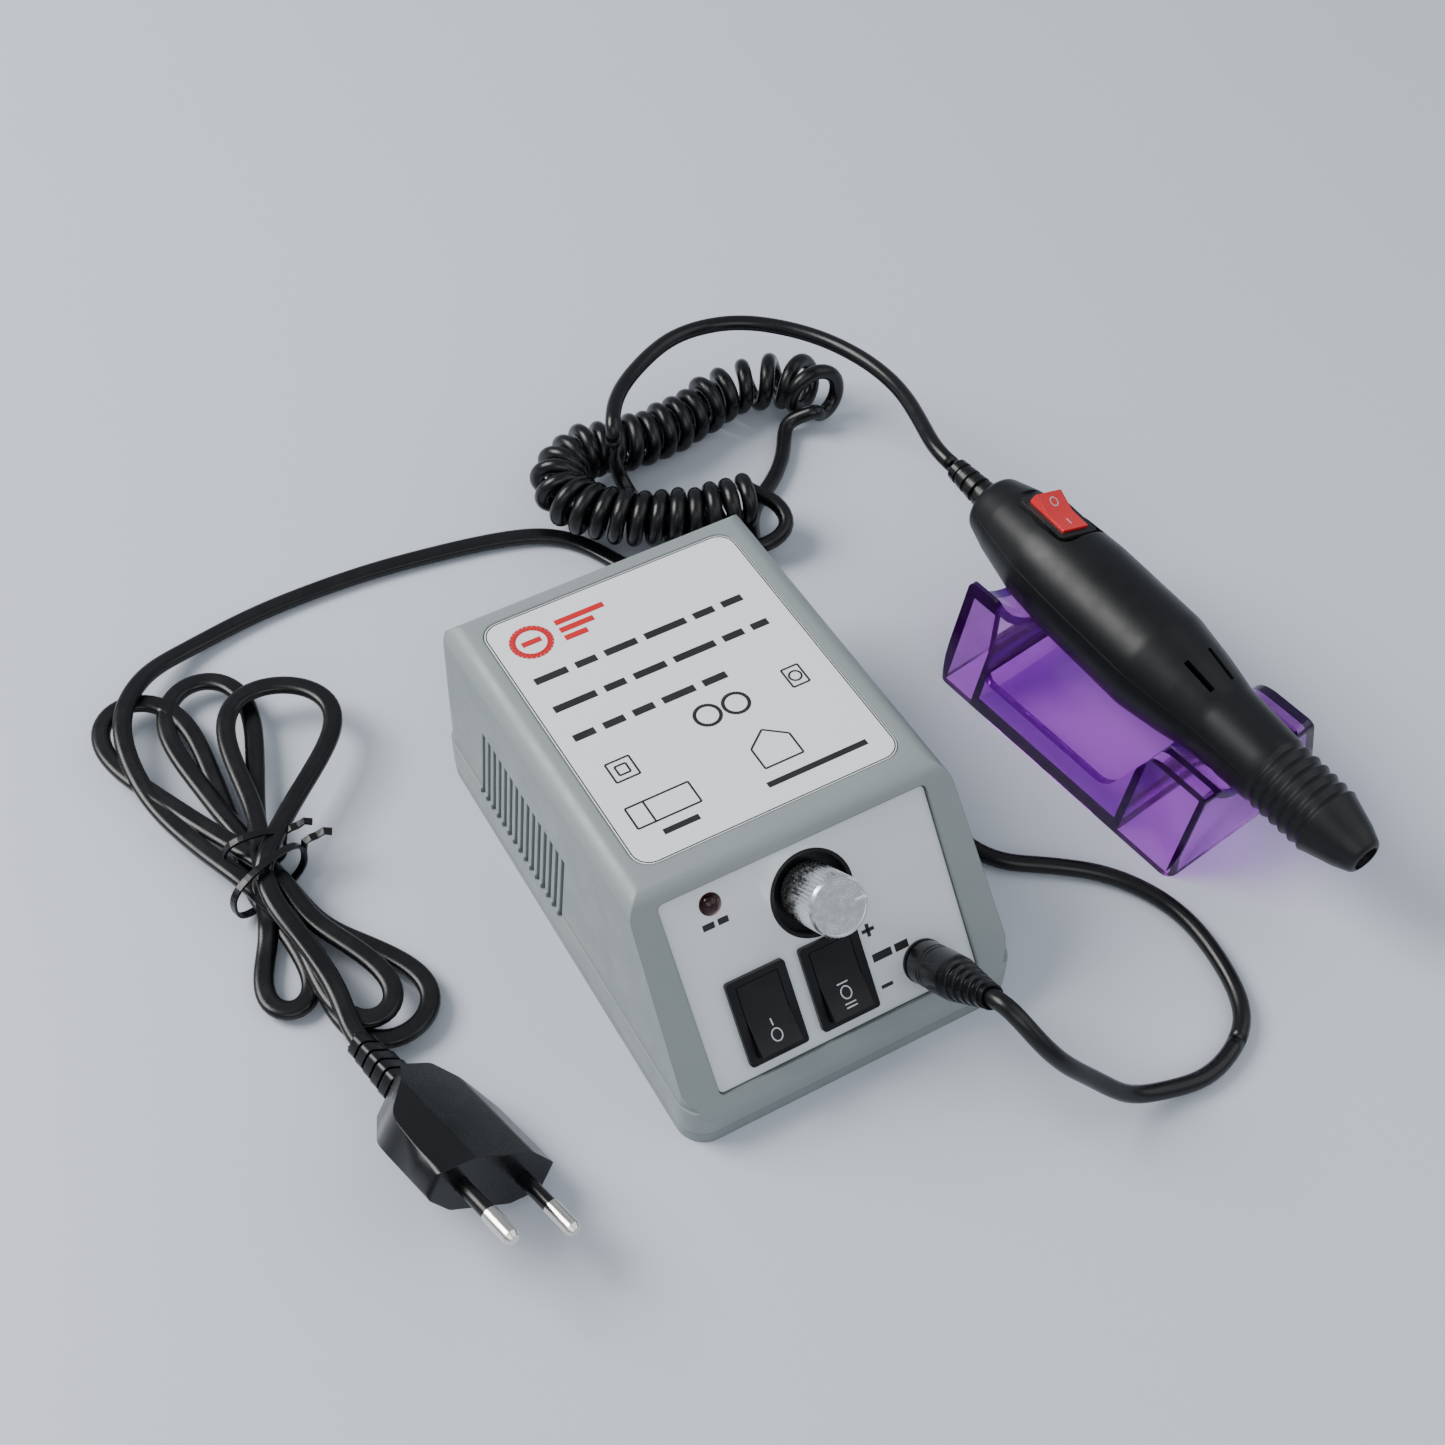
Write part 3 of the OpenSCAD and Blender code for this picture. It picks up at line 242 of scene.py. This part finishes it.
# ---------------------------------------------------------------- mesh tools
def finish_mesh(name, verts, faces, mat, body, smooth=True):
    """A new piece with outward faces; it rides on body unless body is None."""
    mesh = bpy.data.meshes.new(name)
    mesh.from_pydata([tuple(v) for v in verts], [], faces)
    mesh.validate()
    work = bmesh.new()
    work.from_mesh(mesh)
    bmesh.ops.recalc_face_normals(work, faces=work.faces)
    work.to_mesh(mesh)
    work.free()
    for polygon in mesh.polygons:
        polygon.use_smooth = smooth
    mesh.materials.append(mat)
    piece = bpy.data.objects.new(name, mesh)
    bpy.context.scene.collection.objects.link(piece)
    if body:
        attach(piece, body)
    return piece


def spline(points, step):
    """Smooth curve through points, sampled about every step metres."""
    pts = [np.array(p, float) for p in points]
    out = []
    for i in range(len(pts) - 1):
        a, b, c, d = pts[max(i - 1, 0)], pts[i], pts[i + 1], pts[min(i + 2, len(pts) - 1)]
        count = max(2, int(np.linalg.norm(c - b) / step))
        for t in np.arange(count) / count:
            out.append(0.5 * (2 * b + (c - a) * t + (2 * a - 5 * b + 4 * c - d) * t * t
                              + (3 * b - a - 3 * c + d) * t ** 3))
    out.append(pts[-1])
    return np.array(out)


def relaxed(path, rounds):
    """path with small kinks smoothed out; its ends stay."""
    path = path.copy()
    for _ in range(rounds):
        path[1:-1] = 0.5 * path[1:-1] + 0.25 * (path[:-2] + path[2:])
    return path


def sweep(path, outline, up=None):
    """Closed tube: outline (list of (across, up) metres) carried along path."""
    path = np.asarray(path)
    n, m = len(path), len(outline)
    tangents = np.gradient(path, axis=0)
    tangents /= np.linalg.norm(tangents, axis=1)[:, None]
    normal = np.cross(tangents[0], [0, 0, 1.0])
    verts, faces = [], []
    for i in range(n):
        t = tangents[i]
        if up is not None:
            normal = np.cross(t, up)
        normal = normal - t * normal.dot(t)
        normal /= np.linalg.norm(normal)
        over = np.cross(normal, t)
        for a, b in outline:
            verts.append(path[i] + normal * a + over * b)
    for i in range(n - 1):
        for k in range(m):
            j = (k + 1) % m
            faces.append((i * m + k, i * m + j, (i + 1) * m + j, (i + 1) * m + k))
    faces.append(tuple(range(m - 1, -1, -1)))
    faces.append(tuple((n - 1) * m + k for k in range(m)))
    return verts, faces


def round_outline(radius, count=16):
    return [(radius * math.cos(2 * math.pi * k / count), radius * math.sin(2 * math.pi * k / count))
            for k in range(count)]


def flex_outline(half_w, half_t, count=24):
    """Two-core flat flex: an oval with a shallow groove down each face."""
    out = []
    for k in range(count):
        a = 2 * math.pi * k / count
        x = half_w * math.copysign(abs(math.cos(a)) ** 0.8, math.cos(a))
        y = half_t * math.copysign(abs(math.sin(a)) ** 0.7, math.sin(a))
        y *= 1 - 0.12 * math.exp(-(x / (0.3 * half_w)) ** 2)
        out.append((x, y))
    return out


# ---------------------------------------------------------------- material set
BLACK = surface("black_moulding", (0.006, 0.0065, 0.0075), specular=0.3, rough=0.35, grain=3500,
                bump=0.06, wear=0.35, wear_tint=2.4)
CASING = surface("black_casing", (0.005, 0.0055, 0.0065), specular=0.3, rough=0.38, grain=4200,
                 bump=0.10, wear=0.3, wear_tint=2.2, smudge=0.05)
RUBBER = surface("black_pvc", (0.004, 0.0042, 0.005), specular=0.35, rough=0.27, grain=1500, bump=0.05,
                 wear=0.2, wear_tint=2.2)
GREY = surface("grey_casing", (0.225, 0.255, 0.258), rough=0.42, grain=2600, bump=0.10,
               wear=0.3, wear_tint=1.25, variation=0.03, edge=0.0006)
GREY_BASE = surface("grey_base", (0.20, 0.225, 0.228), rough=0.48, grain=2600, bump=0.12,
                    variation=0.04)
WHITE_PANEL = surface("white_panel", (0.66, 0.70, 0.72), rough=0.05, coat=1.0, variation=0.015,
                      grain=400, bump=0.02, wear=0.2, wear_tint=1.1, smudge=0.03)
WHITE_LABEL = surface("white_label", (0.72, 0.75, 0.77), rough=0.33, variation=0.015, grain=1800,
                      bump=0.04, wear=0.5, wear_tint=0.55)
RED = surface("red_rocker", (0.62, 0.012, 0.015), rough=0.28, coat=0.4, variation=0.08, grain=1500,
              bump=0.03, wear=0.3, wear_tint=1.3)
STEEL = surface("plated_steel", (0.62, 0.62, 0.64), rough=0.25, metallic=1, variation=0.06, bump=0.03)
NICKEL = surface("nickel", (0.74, 0.72, 0.67), rough=0.16, metallic=1, variation=0.05, bump=0.02)
IRON = surface("laminated_iron", (0.10, 0.10, 0.11), rough=0.55, metallic=0.7, variation=0.15,
               grain=900, bump=0.2)
NYLON = surface("nylon", (0.72, 0.69, 0.58), rough=0.5)
COPPER = surface("copper", (0.55, 0.25, 0.09), rough=0.3, metallic=1, variation=0.12,
                 grain=1200, bump=0.25)
BOARD = surface("board_green", (0.03, 0.17, 0.06), rough=0.3, coat=0.4, variation=0.1)
COMPONENT = surface("component_black", (0.02, 0.02, 0.024), rough=0.45)
SINK = surface("sink_aluminium", (0.5, 0.51, 0.52), rough=0.4, metallic=1, variation=0.08, bump=0.1)
INK = surface("black_ink", (0.012, 0.012, 0.014), rough=0.4, variation=0.1, wear=0.0)
RED_INK = surface("red_ink", (0.55, 0.01, 0.015), rough=0.38, variation=0.1, wear=0.0)
PALE_INK = surface("pale_ink", (0.55, 0.58, 0.62), rough=0.5, variation=0.1, wear=0.0)
KNOB_METAL = turned_metal("knob_aluminium", (0.86, 0.87, 0.88), 0.24, on_panel(*KNOB), OUT, 9000.0)
PURPLE = clear_tinted("purple_clear", (0.66, 0.04, 0.80), 330.0)
LENS = clear_tinted("red_lens", (0.75, 0.06, 0.08), 420.0)

FINISH = {
    "grey_casing": GREY, "grey_base": GREY_BASE, "white_panel": WHITE_PANEL, "white_label": WHITE_LABEL,
    "black_plastic": BLACK, "black_casing": CASING, "red_rocker": RED, "red_lens": LENS,
    "knob_aluminium": KNOB_METAL, "bright_steel": STEEL, "plug_nickel": NICKEL, "black_rubber": RUBBER,
    "purple_acrylic": PURPLE, "core_iron": IRON, "nylon": NYLON, "copper_wire": COPPER,
    "board_green": BOARD, "component_black": COMPONENT, "sink_aluminium": SINK,
}


def finish_cad_nodes():
    """Every carried-over CAD node gets its slot's material, smooth between its hard edges."""
    slots = {s["node"]: s["material_slot"] for s in frame["record"]["subparts"]}
    for name, node in frame["nodes"].items():
        mesh = node.data
        mesh.materials.clear()
        mesh.materials.append(FINISH[slots[name]])
        if "custom_normal" in mesh.attributes:
            mesh.attributes.remove(mesh.attributes["custom_normal"])
        for polygon in mesh.polygons:
            polygon.use_smooth = True
        weld = node.modifiers.new("weld", "WELD")
        weld.merge_threshold = 0.00001
        split = node.modifiers.new("edges", "EDGE_SPLIT")
        split.split_angle = math.radians(28)


finish_cad_nodes()

# ---------------------------------------------------------------- cords
CORD_R = 2.15 * MM
COIL_R = 8.5 * MM - CORD_R
# middle lines in millimetres: plug to coil, the coil, and coil to handpiece
LEAD = [(57, -105.5, 4), (68, -107, 2.4), (78, -104, 2.3), (84, -100, 2.3), (88.2, -93, 2.3),
        (90.7, -80, 2.3), (90.5, -68, 2.3), (87, -57.5, 2.3), (80, -47.5, 2.3), (70, -39.5, 2.3),
        (58, -29, 2.3), (53, 0, 2.3), (54, 40, 2.3), (58, 76, 2.3), (66, 99, 2.3), (79, 109, 2.3),
        (87, 117, 2.3), (93, 127, 3.5)]
COIL = [(104, 122, 8.8), (102, 133, 8.8), (94, 139, 8.8), (82, 141, 8.8), (66, 137, 8.8),
        (50, 135, 9.5), (34, 136, 11.6), (24, 132, 12.4), (20, 123, 12.6), (25, 113, 12.6),
        (36, 104, 12.4), (50, 98, 12.6), (64, 96, 13.2)]
TAIL = [(71, 94, 11), (71, 86, 8.6), (62, 83.5, 7.2), (53, 90, 4.4), (46, 100, 2.4), (42, 110, 2.4),
        (40, 120, 3.5), (39, 127, 8), (38, 128, 16), (36, 122, 25), (35, 121, 30.5), (40, 130, 31.5),
        (50, 139, 31), (68, 147, 31), (86, 144, 31), (100, 131, 31.5), (108, 114, 32.5), (110, 94, 34)]


def coil_path():
    """The cord wound round the coil's middle line, tight at the bend and open at its right end."""
    middle = spline([Vector(p) * MM for p in COIL], 0.0006)
    length = np.concatenate([[0], np.cumsum(np.linalg.norm(np.diff(middle, axis=0), axis=1))])
    total = length[-1]
    tangents = np.gradient(middle, axis=0)
    tangents /= np.linalg.norm(tangents, axis=1)[:, None]
    side = np.cross(tangents, [0, 0, 1.0])
    side /= np.linalg.norm(side, axis=1)[:, None]
    over = np.cross(side, tangents)
    share = length / total
    pitch = (4.9 + 2.9 * np.exp(-((share - 0.06) / 0.22) ** 2)) * MM
    phase = np.concatenate([[0], np.cumsum(2 * math.pi * np.diff(length) / pitch[1:])])
    phase += math.pi
    out = []
    count = int(phase[-1] / (2 * math.pi) * 26)
    for angle in np.linspace(phase[0], phase[-1], count):
        i = np.interp(angle, phase, np.arange(len(phase)))
        k, f = int(i), i - int(i)
        k2 = min(k + 1, len(middle) - 1)
        center = middle[k] * (1 - f) + middle[k2] * f
        ends = min(1.0, (angle - phase[0]) / 5 + 0.35)
        flare = 1 + 0.25 * math.exp(-((angle - phase[0] - 7) / 5) ** 2)
        uneven = 1 + 0.05 * math.sin(angle * 0.37)
        radius = COIL_R * ends * uneven
        lift = COIL_R * uneven * flare * ends - COIL_R
        out.append(center + (side[k] * math.cos(angle) + over[k] * math.sin(angle)) * radius * flare
                   + np.array([0, 0, max(lift, 0)]))
    return np.array(out)


def plug_exit():
    """Where the cord leaves the DC plug, straight out and then starting to drop."""
    sagging = on_panel(JACK[0] + 0.6, JACK[1] - 0.8, 36.5)
    return [on_panel(*JACK, 29.2), on_panel(*JACK, 31.6), sagging]


def build_cords():
    """One cord from plug to handpiece, cut in three where it meets the moving bodies."""
    start = [np.array(p) for p in plug_exit()]
    droop = [(28.5, -97, 30), (39, -101, 17), (48, -104, 7)]
    lead = spline(start + [Vector(p) * MM for p in droop + LEAD], 0.002)
    coil = coil_path()
    tail_end = HAND @ Vector((0, 15 * MM, 0))
    tail_near = HAND @ Vector((0, 22 * MM, 0))
    tail = spline([Vector(p) * MM for p in TAIL] + [tail_near, tail_end], 0.002)
    whole = np.concatenate([spline(list(lead[-1:]) + [coil[0]], 0.002)[1:-1], coil,
                            spline([coil[-1], tail[0]], 0.002)[1:-1]])
    full = relaxed(np.concatenate([lead, whole, tail]), 6)
    lead_end = next(i for i in range(len(lead)) if full[i][0] > 0.080)
    tail_start = len(lead) + len(whole)
    tail_cut = tail_start + int(np.argmin(full[tail_start:tail_start + 60, 0]))
    outline = round_outline(CORD_R)
    a = finish_mesh("cord_at_plug", *sweep(full[:lead_end + 1], outline), RUBBER, None)
    b = finish_mesh("cord_coiled", *sweep(full[lead_end:tail_cut + 1], outline), RUBBER, "control_box")
    c = finish_mesh("cord_at_handpiece", *sweep(full[tail_cut:], outline), RUBBER, None)
    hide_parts("cord_lead")
    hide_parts("cord_coil")
    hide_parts("cord_tail")
    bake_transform(a)
    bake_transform(c)


build_cords()

# ---------------------------------------------------------------- mains lead
# the hank's tie and the height of flex that lies on the table, in millimetres
TIE = (-99.5, 45.5)
LEVEL = 2.0
TIE_OUTLINE = [(-0.9 * MM, -0.35 * MM), (0.9 * MM, -0.35 * MM), (0.9 * MM, 0.35 * MM), (-0.9 * MM, 0.35 * MM)]


def loop(tip, width, z_low, z_high, lean=0.0):
    """Teardrop from the tie out to tip and back, in millimetres; it rises from z_low to z_high."""
    ax, ay = tip[0] - TIE[0], tip[1] - TIE[1]
    length = math.hypot(ax, ay)
    ux, uy = ax / length, ay / length
    out = []
    for i in range(1, 12):
        t = i / 12
        along = length * math.sin(math.pi * t) ** 0.9
        belly = math.sin(2 * math.pi * t) * math.sin(math.pi * t) ** 0.6 * 0.5
        across = width * (belly + lean * math.sin(math.pi * t))
        out.append((TIE[0] + ux * along - uy * across, TIE[1] + uy * along + ux * across,
                    z_low + (z_high - z_low) * t))
    return out


def mains_path():
    """From the box's back to the hank, through its loops and tie, to the plug."""
    pts = [(30, 62, 15), (30, 70, 15), (29.5, 82, 9), (27, 99, LEVEL), (13, 121, LEVEL),
           (-26, 131, LEVEL), (-62, 133, LEVEL), (-88, 129, 3), (-103, 122, 7), (-113, 110, 9),
           (-116, 96, 8), (-115, 80, 7), (-110, 62, 8)]
    pts += [(-104, 46, 9)]
    pts += loop((-85, -8), -26, 5, 3)
    pts += [(-96, 47, 4)]
    pts += loop((-92, 116), 26, 4, 6)
    pts += [(-100, 45, 8)]
    pts += loop((-90, -4), -17, 7, 7)
    pts += [(-97, 46, 9)]
    pts += loop((-112, 117), 26, 8, 3)
    pts += [(-103, 45, 2.5)]
    pts += loop((-108, 10), 15, 2.5, 3)
    pts += [(-100, 46, 12)]
    pts += loop((-70, 98), -34, 11, 9, -0.1)
    pts += [(-101, 40, 11.5), (-98.5, 22, 10), (-97, 8, 8.5), (-98.6, -3, 8.3),
            (-98.1, -8.5, 9.0), (-97.3, -12.5, 9.7), (-96.4, -17.2, 10.4)]
    return relaxed(spline([Vector(p) * MM for p in pts], 0.0016), 14)


def build_mains():
    """The flat flex in its hank, and the two twist ties round it."""
    flex = sweep(mains_path(), flex_outline(2.45 * MM, 1.5 * MM), up=(0, 0, 1))
    cable = finish_mesh("mains_flex", *flex, RUBBER, "control_box")
    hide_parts("mains_cable")
    ties = []
    for shift, tilt, half_w in ((0.0, 0.35, 10.5), (9.5, -0.1, 7.5)):
        ring = []
        for k in range(40):
            a = 2 * math.pi * k / 40
            x = math.copysign(abs(math.cos(a)) ** 0.75, math.cos(a)) * half_w
            z = 7.4 + math.copysign(abs(math.sin(a)) ** 0.75, math.sin(a)) * 6.9
            y = shift + tilt * x
            ring.append(Vector((TIE[0] + x + 0.5, TIE[1] + y, z)) * MM)
        tails = [Vector((TIE[0] + half_w + 1 + 1.8 * t,
                         TIE[1] + shift + tilt * half_w + 1.5 * math.sin(t * 3),
                         12 + 1.2 * math.cos(t * 2))) * MM for t in range(5)]
        ties.append(np.array(ring + [ring[0]] + tails))
    verts, faces = [], []
    for path in ties:
        v, f = sweep(relaxed(path, 1), TIE_OUTLINE)
        faces += [tuple(i + len(verts) for i in face) for face in f]
        verts += v
    tie = finish_mesh("twist_tie_wraps", verts, faces, RUBBER, "control_box", smooth=False)
    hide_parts("twist_ties")


build_mains()

# ---------------------------------------------------------------- printed marks
def flat_strip(bm, origin, ux, uy, a, b, width, lift=0.00004):
    """A thin raised stroke from a to b (millimetres on the ux, uy plane)."""
    pa, pb = Vector((a[0], a[1])), Vector((b[0], b[1]))
    d = (pb - pa).normalized()
    n = Vector((-d.y, d.x)) * width / 2
    normal = ux.cross(uy)
    corners = [pa - n, pb - n, pb + n, pa + n]
    low = [bm.verts.new(origin + ux * c.x * MM + uy * c.y * MM) for c in corners]
    high = [bm.verts.new(origin + ux * c.x * MM + uy * c.y * MM + normal * lift) for c in corners]
    bm.faces.new(high)
    bm.faces.new(low[::-1])
    for i in range(4):
        j = (i + 1) % 4
        bm.faces.new((low[i], low[j], high[j], high[i]))


def strokes(name, origin, ux, uy, lines, mat, body):
    """One piece of flat strokes, printed on the plane of ux and uy."""
    bm = bmesh.new()
    for a, b, width in lines:
        flat_strip(bm, origin, ux, uy, a, b, width)
    mesh = bpy.data.meshes.new(name)
    bm.to_mesh(mesh)
    bm.free()
    mesh.materials.append(mat)
    piece = bpy.data.objects.new(name, mesh)
    bpy.context.scene.collection.objects.link(piece)
    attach(piece, body)
    return piece


def ring_lines(cx, cy, rx, ry, width, count=28, start=0.0, stop=360.0):
    pts = []
    for k in range(count + 1):
        a = math.radians(start + (stop - start) * k / count)
        pts.append((cx + rx * math.cos(a), cy + ry * math.sin(a)))
    return [(pts[i], pts[i + 1], width) for i in range(count)]


def poly_lines(pts, width, closed=True):
    ends = pts[1:] + pts[:1] if closed else pts[1:]
    return [(a, b, width) for a, b in zip(pts, ends)]


def label_marks():
    """Generic marks in place of the print: short bars for lines of text, plain outline signs."""
    origin = LID + LID_BACK * 41.2 * MM - LID_OUT * 0.125 * MM
    lines = []
    rows = [(19.5, -29.5, 60), (9.5, -29.5, 57), (-0.5, -29.5, 40)]
    for y, x0, length in rows:
        x = x0
        while x < x0 + length - 3:
            word = random.choice((5.5, 8.5, 11.0))
            word = min(word, x0 + length - x)
            lines.append(((x, y), (x + word, y), 2.1))
            x += word + 2.2
    lines += poly_lines([(-27, -17), (-21, -17), (-21, -11), (-27, -11)], 0.5)
    lines += poly_lines([(-25.4, -15.4), (-22.6, -15.4), (-22.6, -12.6), (-25.4, -12.6)], 0.5)
    lines += poly_lines([(-29, -31), (-13, -31), (-13, -24.5), (-29, -24.5)], 0.5)
    lines += poly_lines([(-24.5, -31), (-24.5, -24.5)], 0.5, False)
    lines += [((-24.5, -34.5), (-15.5, -34.5), 1.6)]
    lines += ring_lines(0.5, -9.5, 3.1, 3.1, 0.9) + ring_lines(8.0, -9.5, 3.1, 3.1, 0.9)
    lines += poly_lines([(22, -12), (26.4, -12), (26.4, -6), (22, -6)], 0.5)
    lines += ring_lines(24.2, -9, 1.5, 1.5, 0.5)
    lines += poly_lines([(4, -30), (14, -30), (14, -23.5), (9, -19.5), (4, -23.5)], 0.5)
    lines += [((2, -34.5), (28, -34.5), 1.6)]
    strokes("label_print", origin, RIGHT, LID_BACK, lines, INK, "control_box")
    emblem = ring_lines(-24.5, 31.5, 4.6, 4.6, 1.6)
    emblem += poly_lines([(-27, 31.5), (-22, 31.5)], 1.6, False)
    emblem += [((-17, y), (x, y), 1.7) for x, y in ((-4, 34.2), (-8, 31.4), (-11, 28.6))]
    strokes("label_emblem", origin, RIGHT, LID_BACK, emblem, RED_INK, "control_box")
    outline = []
    hw, hl, r = 33.6, 40.85, 4.4
    corners = ((hw - r, hl - r, 0), (r - hw, hl - r, 90), (r - hw, r - hl, 180), (hw - r, r - hl, 270))
    for cx, cy, a0 in corners:
        turns = [math.radians(a0 + 90 * k / 8) for k in range(9)]
        outline += [(cx + r * math.cos(a), cy + r * math.sin(a)) for a in turns]
    border = poly_lines(outline, 0.28)
    strokes("label_border", origin, RIGHT, LID_BACK, border, INK, "control_box")


def panel_marks():
    """Plus and minus signs, and bars where the panel has text."""
    lines = [((9.5, 20.4), (12.7, 20.4), 0.9), ((11.1, 18.8), (11.1, 22.0), 0.9)]
    lines += [((10.2, 6.0), (13.2, 6.0), 0.9)]
    lines += [((10.2, 13.4), (15.2, 13.4), 2.0), ((16.1, 13.4), (19.6, 13.4), 2.0)]
    lines += [((-25.8, 37.5), (-22.9, 37.5), 1.5), ((-22.0, 37.5), (-19.4, 37.5), 1.5)]
    strokes("panel_print", PANEL, RIGHT, UP, lines, INK, "control_box")


PANEL_CAP, HAND_CAP = 19.2, 14.4
CAP_SINK = 0.07


def cap_fall(length):
    """The angle between each half of a rocker cap of this length and its flat line."""
    return math.atan((0.16 * (length / 2 + 2) + length * CAP_SINK) / length)


def rocker_marks():
    """I, O and II signs, each riding on its rocker's cap."""
    tilt = math.radians(-10)
    slope = cap_fall(PANEL_CAP)
    for name, x, body, signs in (
        ("power_print", POWER_X, "power_toggle", "IO"),
        ("polarity_print", POLARITY_X, "polarity_toggle", "IOII"),
    ):
        pivot = on_panel(x, SWITCH_V, 0.9)
        turn = Matrix.Rotation(tilt, 3, RIGHT)
        up, out = turn @ UP, turn @ OUT
        face_up = Matrix.Rotation(-slope, 3, RIGHT) @ up
        origin = pivot + out * (1.9 - PANEL_CAP * CAP_SINK) * MM
        lines = ring_lines(0, -5.1 if signs == "IO" else -3.4, 1.25, 1.45, 0.3)
        if signs == "IO":
            lines += [((0, -1.2), (0, -2.9), 0.32)]
        else:
            lines += [((-1.4, y), (1.4, y), 0.3) for y in (-1.1, -5.9, -6.8)]
        strokes(name, origin, RIGHT, face_up, lines, PALE_INK, body)
    turn = HAND.to_3x3()
    ux = turn @ Vector((1, 0, 0))
    pivot = HAND @ (Vector((0, -21, 11.2)) * MM)
    tip = Matrix.Rotation(math.radians(11), 3, ux)
    up, out = tip @ (turn @ Vector((0, 1, 0))), tip @ (turn @ Vector((0, 0, 1)))
    slope = cap_fall(HAND_CAP)
    origin = pivot + out * (2 - HAND_CAP * CAP_SINK) * MM
    rear = Matrix.Rotation(slope, 3, ux) @ up
    front = Matrix.Rotation(-slope, 3, ux) @ up
    strokes("handpiece_mark_off", origin, ux, rear, ring_lines(0, 3.3, 1.25, 1.25, 0.3), PALE_INK,
            "handpiece_toggle")
    strokes("handpiece_mark_on", origin, ux, front, [((0, -2.4), (0, -4.4), 0.32)], PALE_INK,
            "handpiece_toggle")


label_marks()
panel_marks()
rocker_marks()


# ---------------------------------------------------------------- room
def build_room():
    """Pale floor, three soft area lights and a pale sky."""
    floor_mat, tree, shader = new_material("pale_floor")
    vec = object_coords(tree)
    noise = add_node(tree, "ShaderNodeTexNoise", Scale=3.0, Detail=3.0)
    tree.links.new(vec, noise.inputs["Vector"])
    tint = add_node(tree, "ShaderNodeMix", data_type="RGBA")
    tint.inputs[6].default_value = (0.52, 0.56, 0.62, 1)
    tint.inputs[7].default_value = (0.56, 0.60, 0.66, 1)
    tree.links.new(noise.outputs["Fac"], tint.inputs[0])
    tree.links.new(tint.outputs[2], shader.inputs["Base Color"])
    shader.inputs["Roughness"].default_value = 0.42
    bpy.ops.mesh.primitive_plane_add(size=6, location=(0, 0, -0.0001))
    floor = bpy.context.object
    floor.name = "floor"
    floor.data.materials.append(floor_mat)

    def area(name, place, target, size, energy, color=(1, 1, 1)):
        light = bpy.data.lights.new(name, "AREA")
        light.shape = "RECTANGLE"
        light.size, light.size_y = size
        light.energy = energy
        light.color = color
        lamp = bpy.data.objects.new(name, light)
        lamp.location = place
        lamp.rotation_euler = (Vector(target) - Vector(place)).to_track_quat("-Z", "Y").to_euler()
        bpy.context.scene.collection.objects.link(lamp)

    area("key_soft", (-0.75, 0.65, 0.95), (0, 0, 0), (0.75, 0.75), 25.0, (1.0, 0.99, 0.97))
    area("fill_soft", (0.8, -0.5, 0.9), (0, 0, 0), (1.2, 1.2), 5.0, (0.95, 0.97, 1.0))
    area("front_soft", (-0.4, -0.9, 0.9), (0, 0, 0), (1.0, 0.8), 4.5)
    world = bpy.data.worlds.new("studio")
    bpy.context.scene.world = world
    world.use_nodes = True
    world.node_tree.nodes["Background"].inputs["Color"].default_value = (0.78, 0.84, 0.93, 1)
    world.node_tree.nodes["Background"].inputs["Strength"].default_value = 0.5


CAMERA_PLACE = (-0.15742, -0.27651, 0.44894)
CAMERA_LENS = 55.42


def build_camera():
    """The camera fitted to the photo: it looks down, turned towards +X."""
    heading, pitch, roll = math.radians(29.76), math.radians(50.9), math.radians(0.47)
    camera = bpy.data.cameras.new("camera")
    camera.lens = CAMERA_LENS
    camera.sensor_width = 36
    view = bpy.data.objects.new("camera", camera)
    turn = (Matrix.Rotation(-heading, 4, "Z") @ Matrix.Rotation(math.pi / 2 - pitch, 4, "X")
            @ Matrix.Rotation(roll, 4, "Z"))
    view.matrix_world = Matrix.Translation(CAMERA_PLACE) @ turn
    bpy.context.scene.collection.objects.link(view)
    bpy.context.scene.camera = view


build_room()
build_camera()
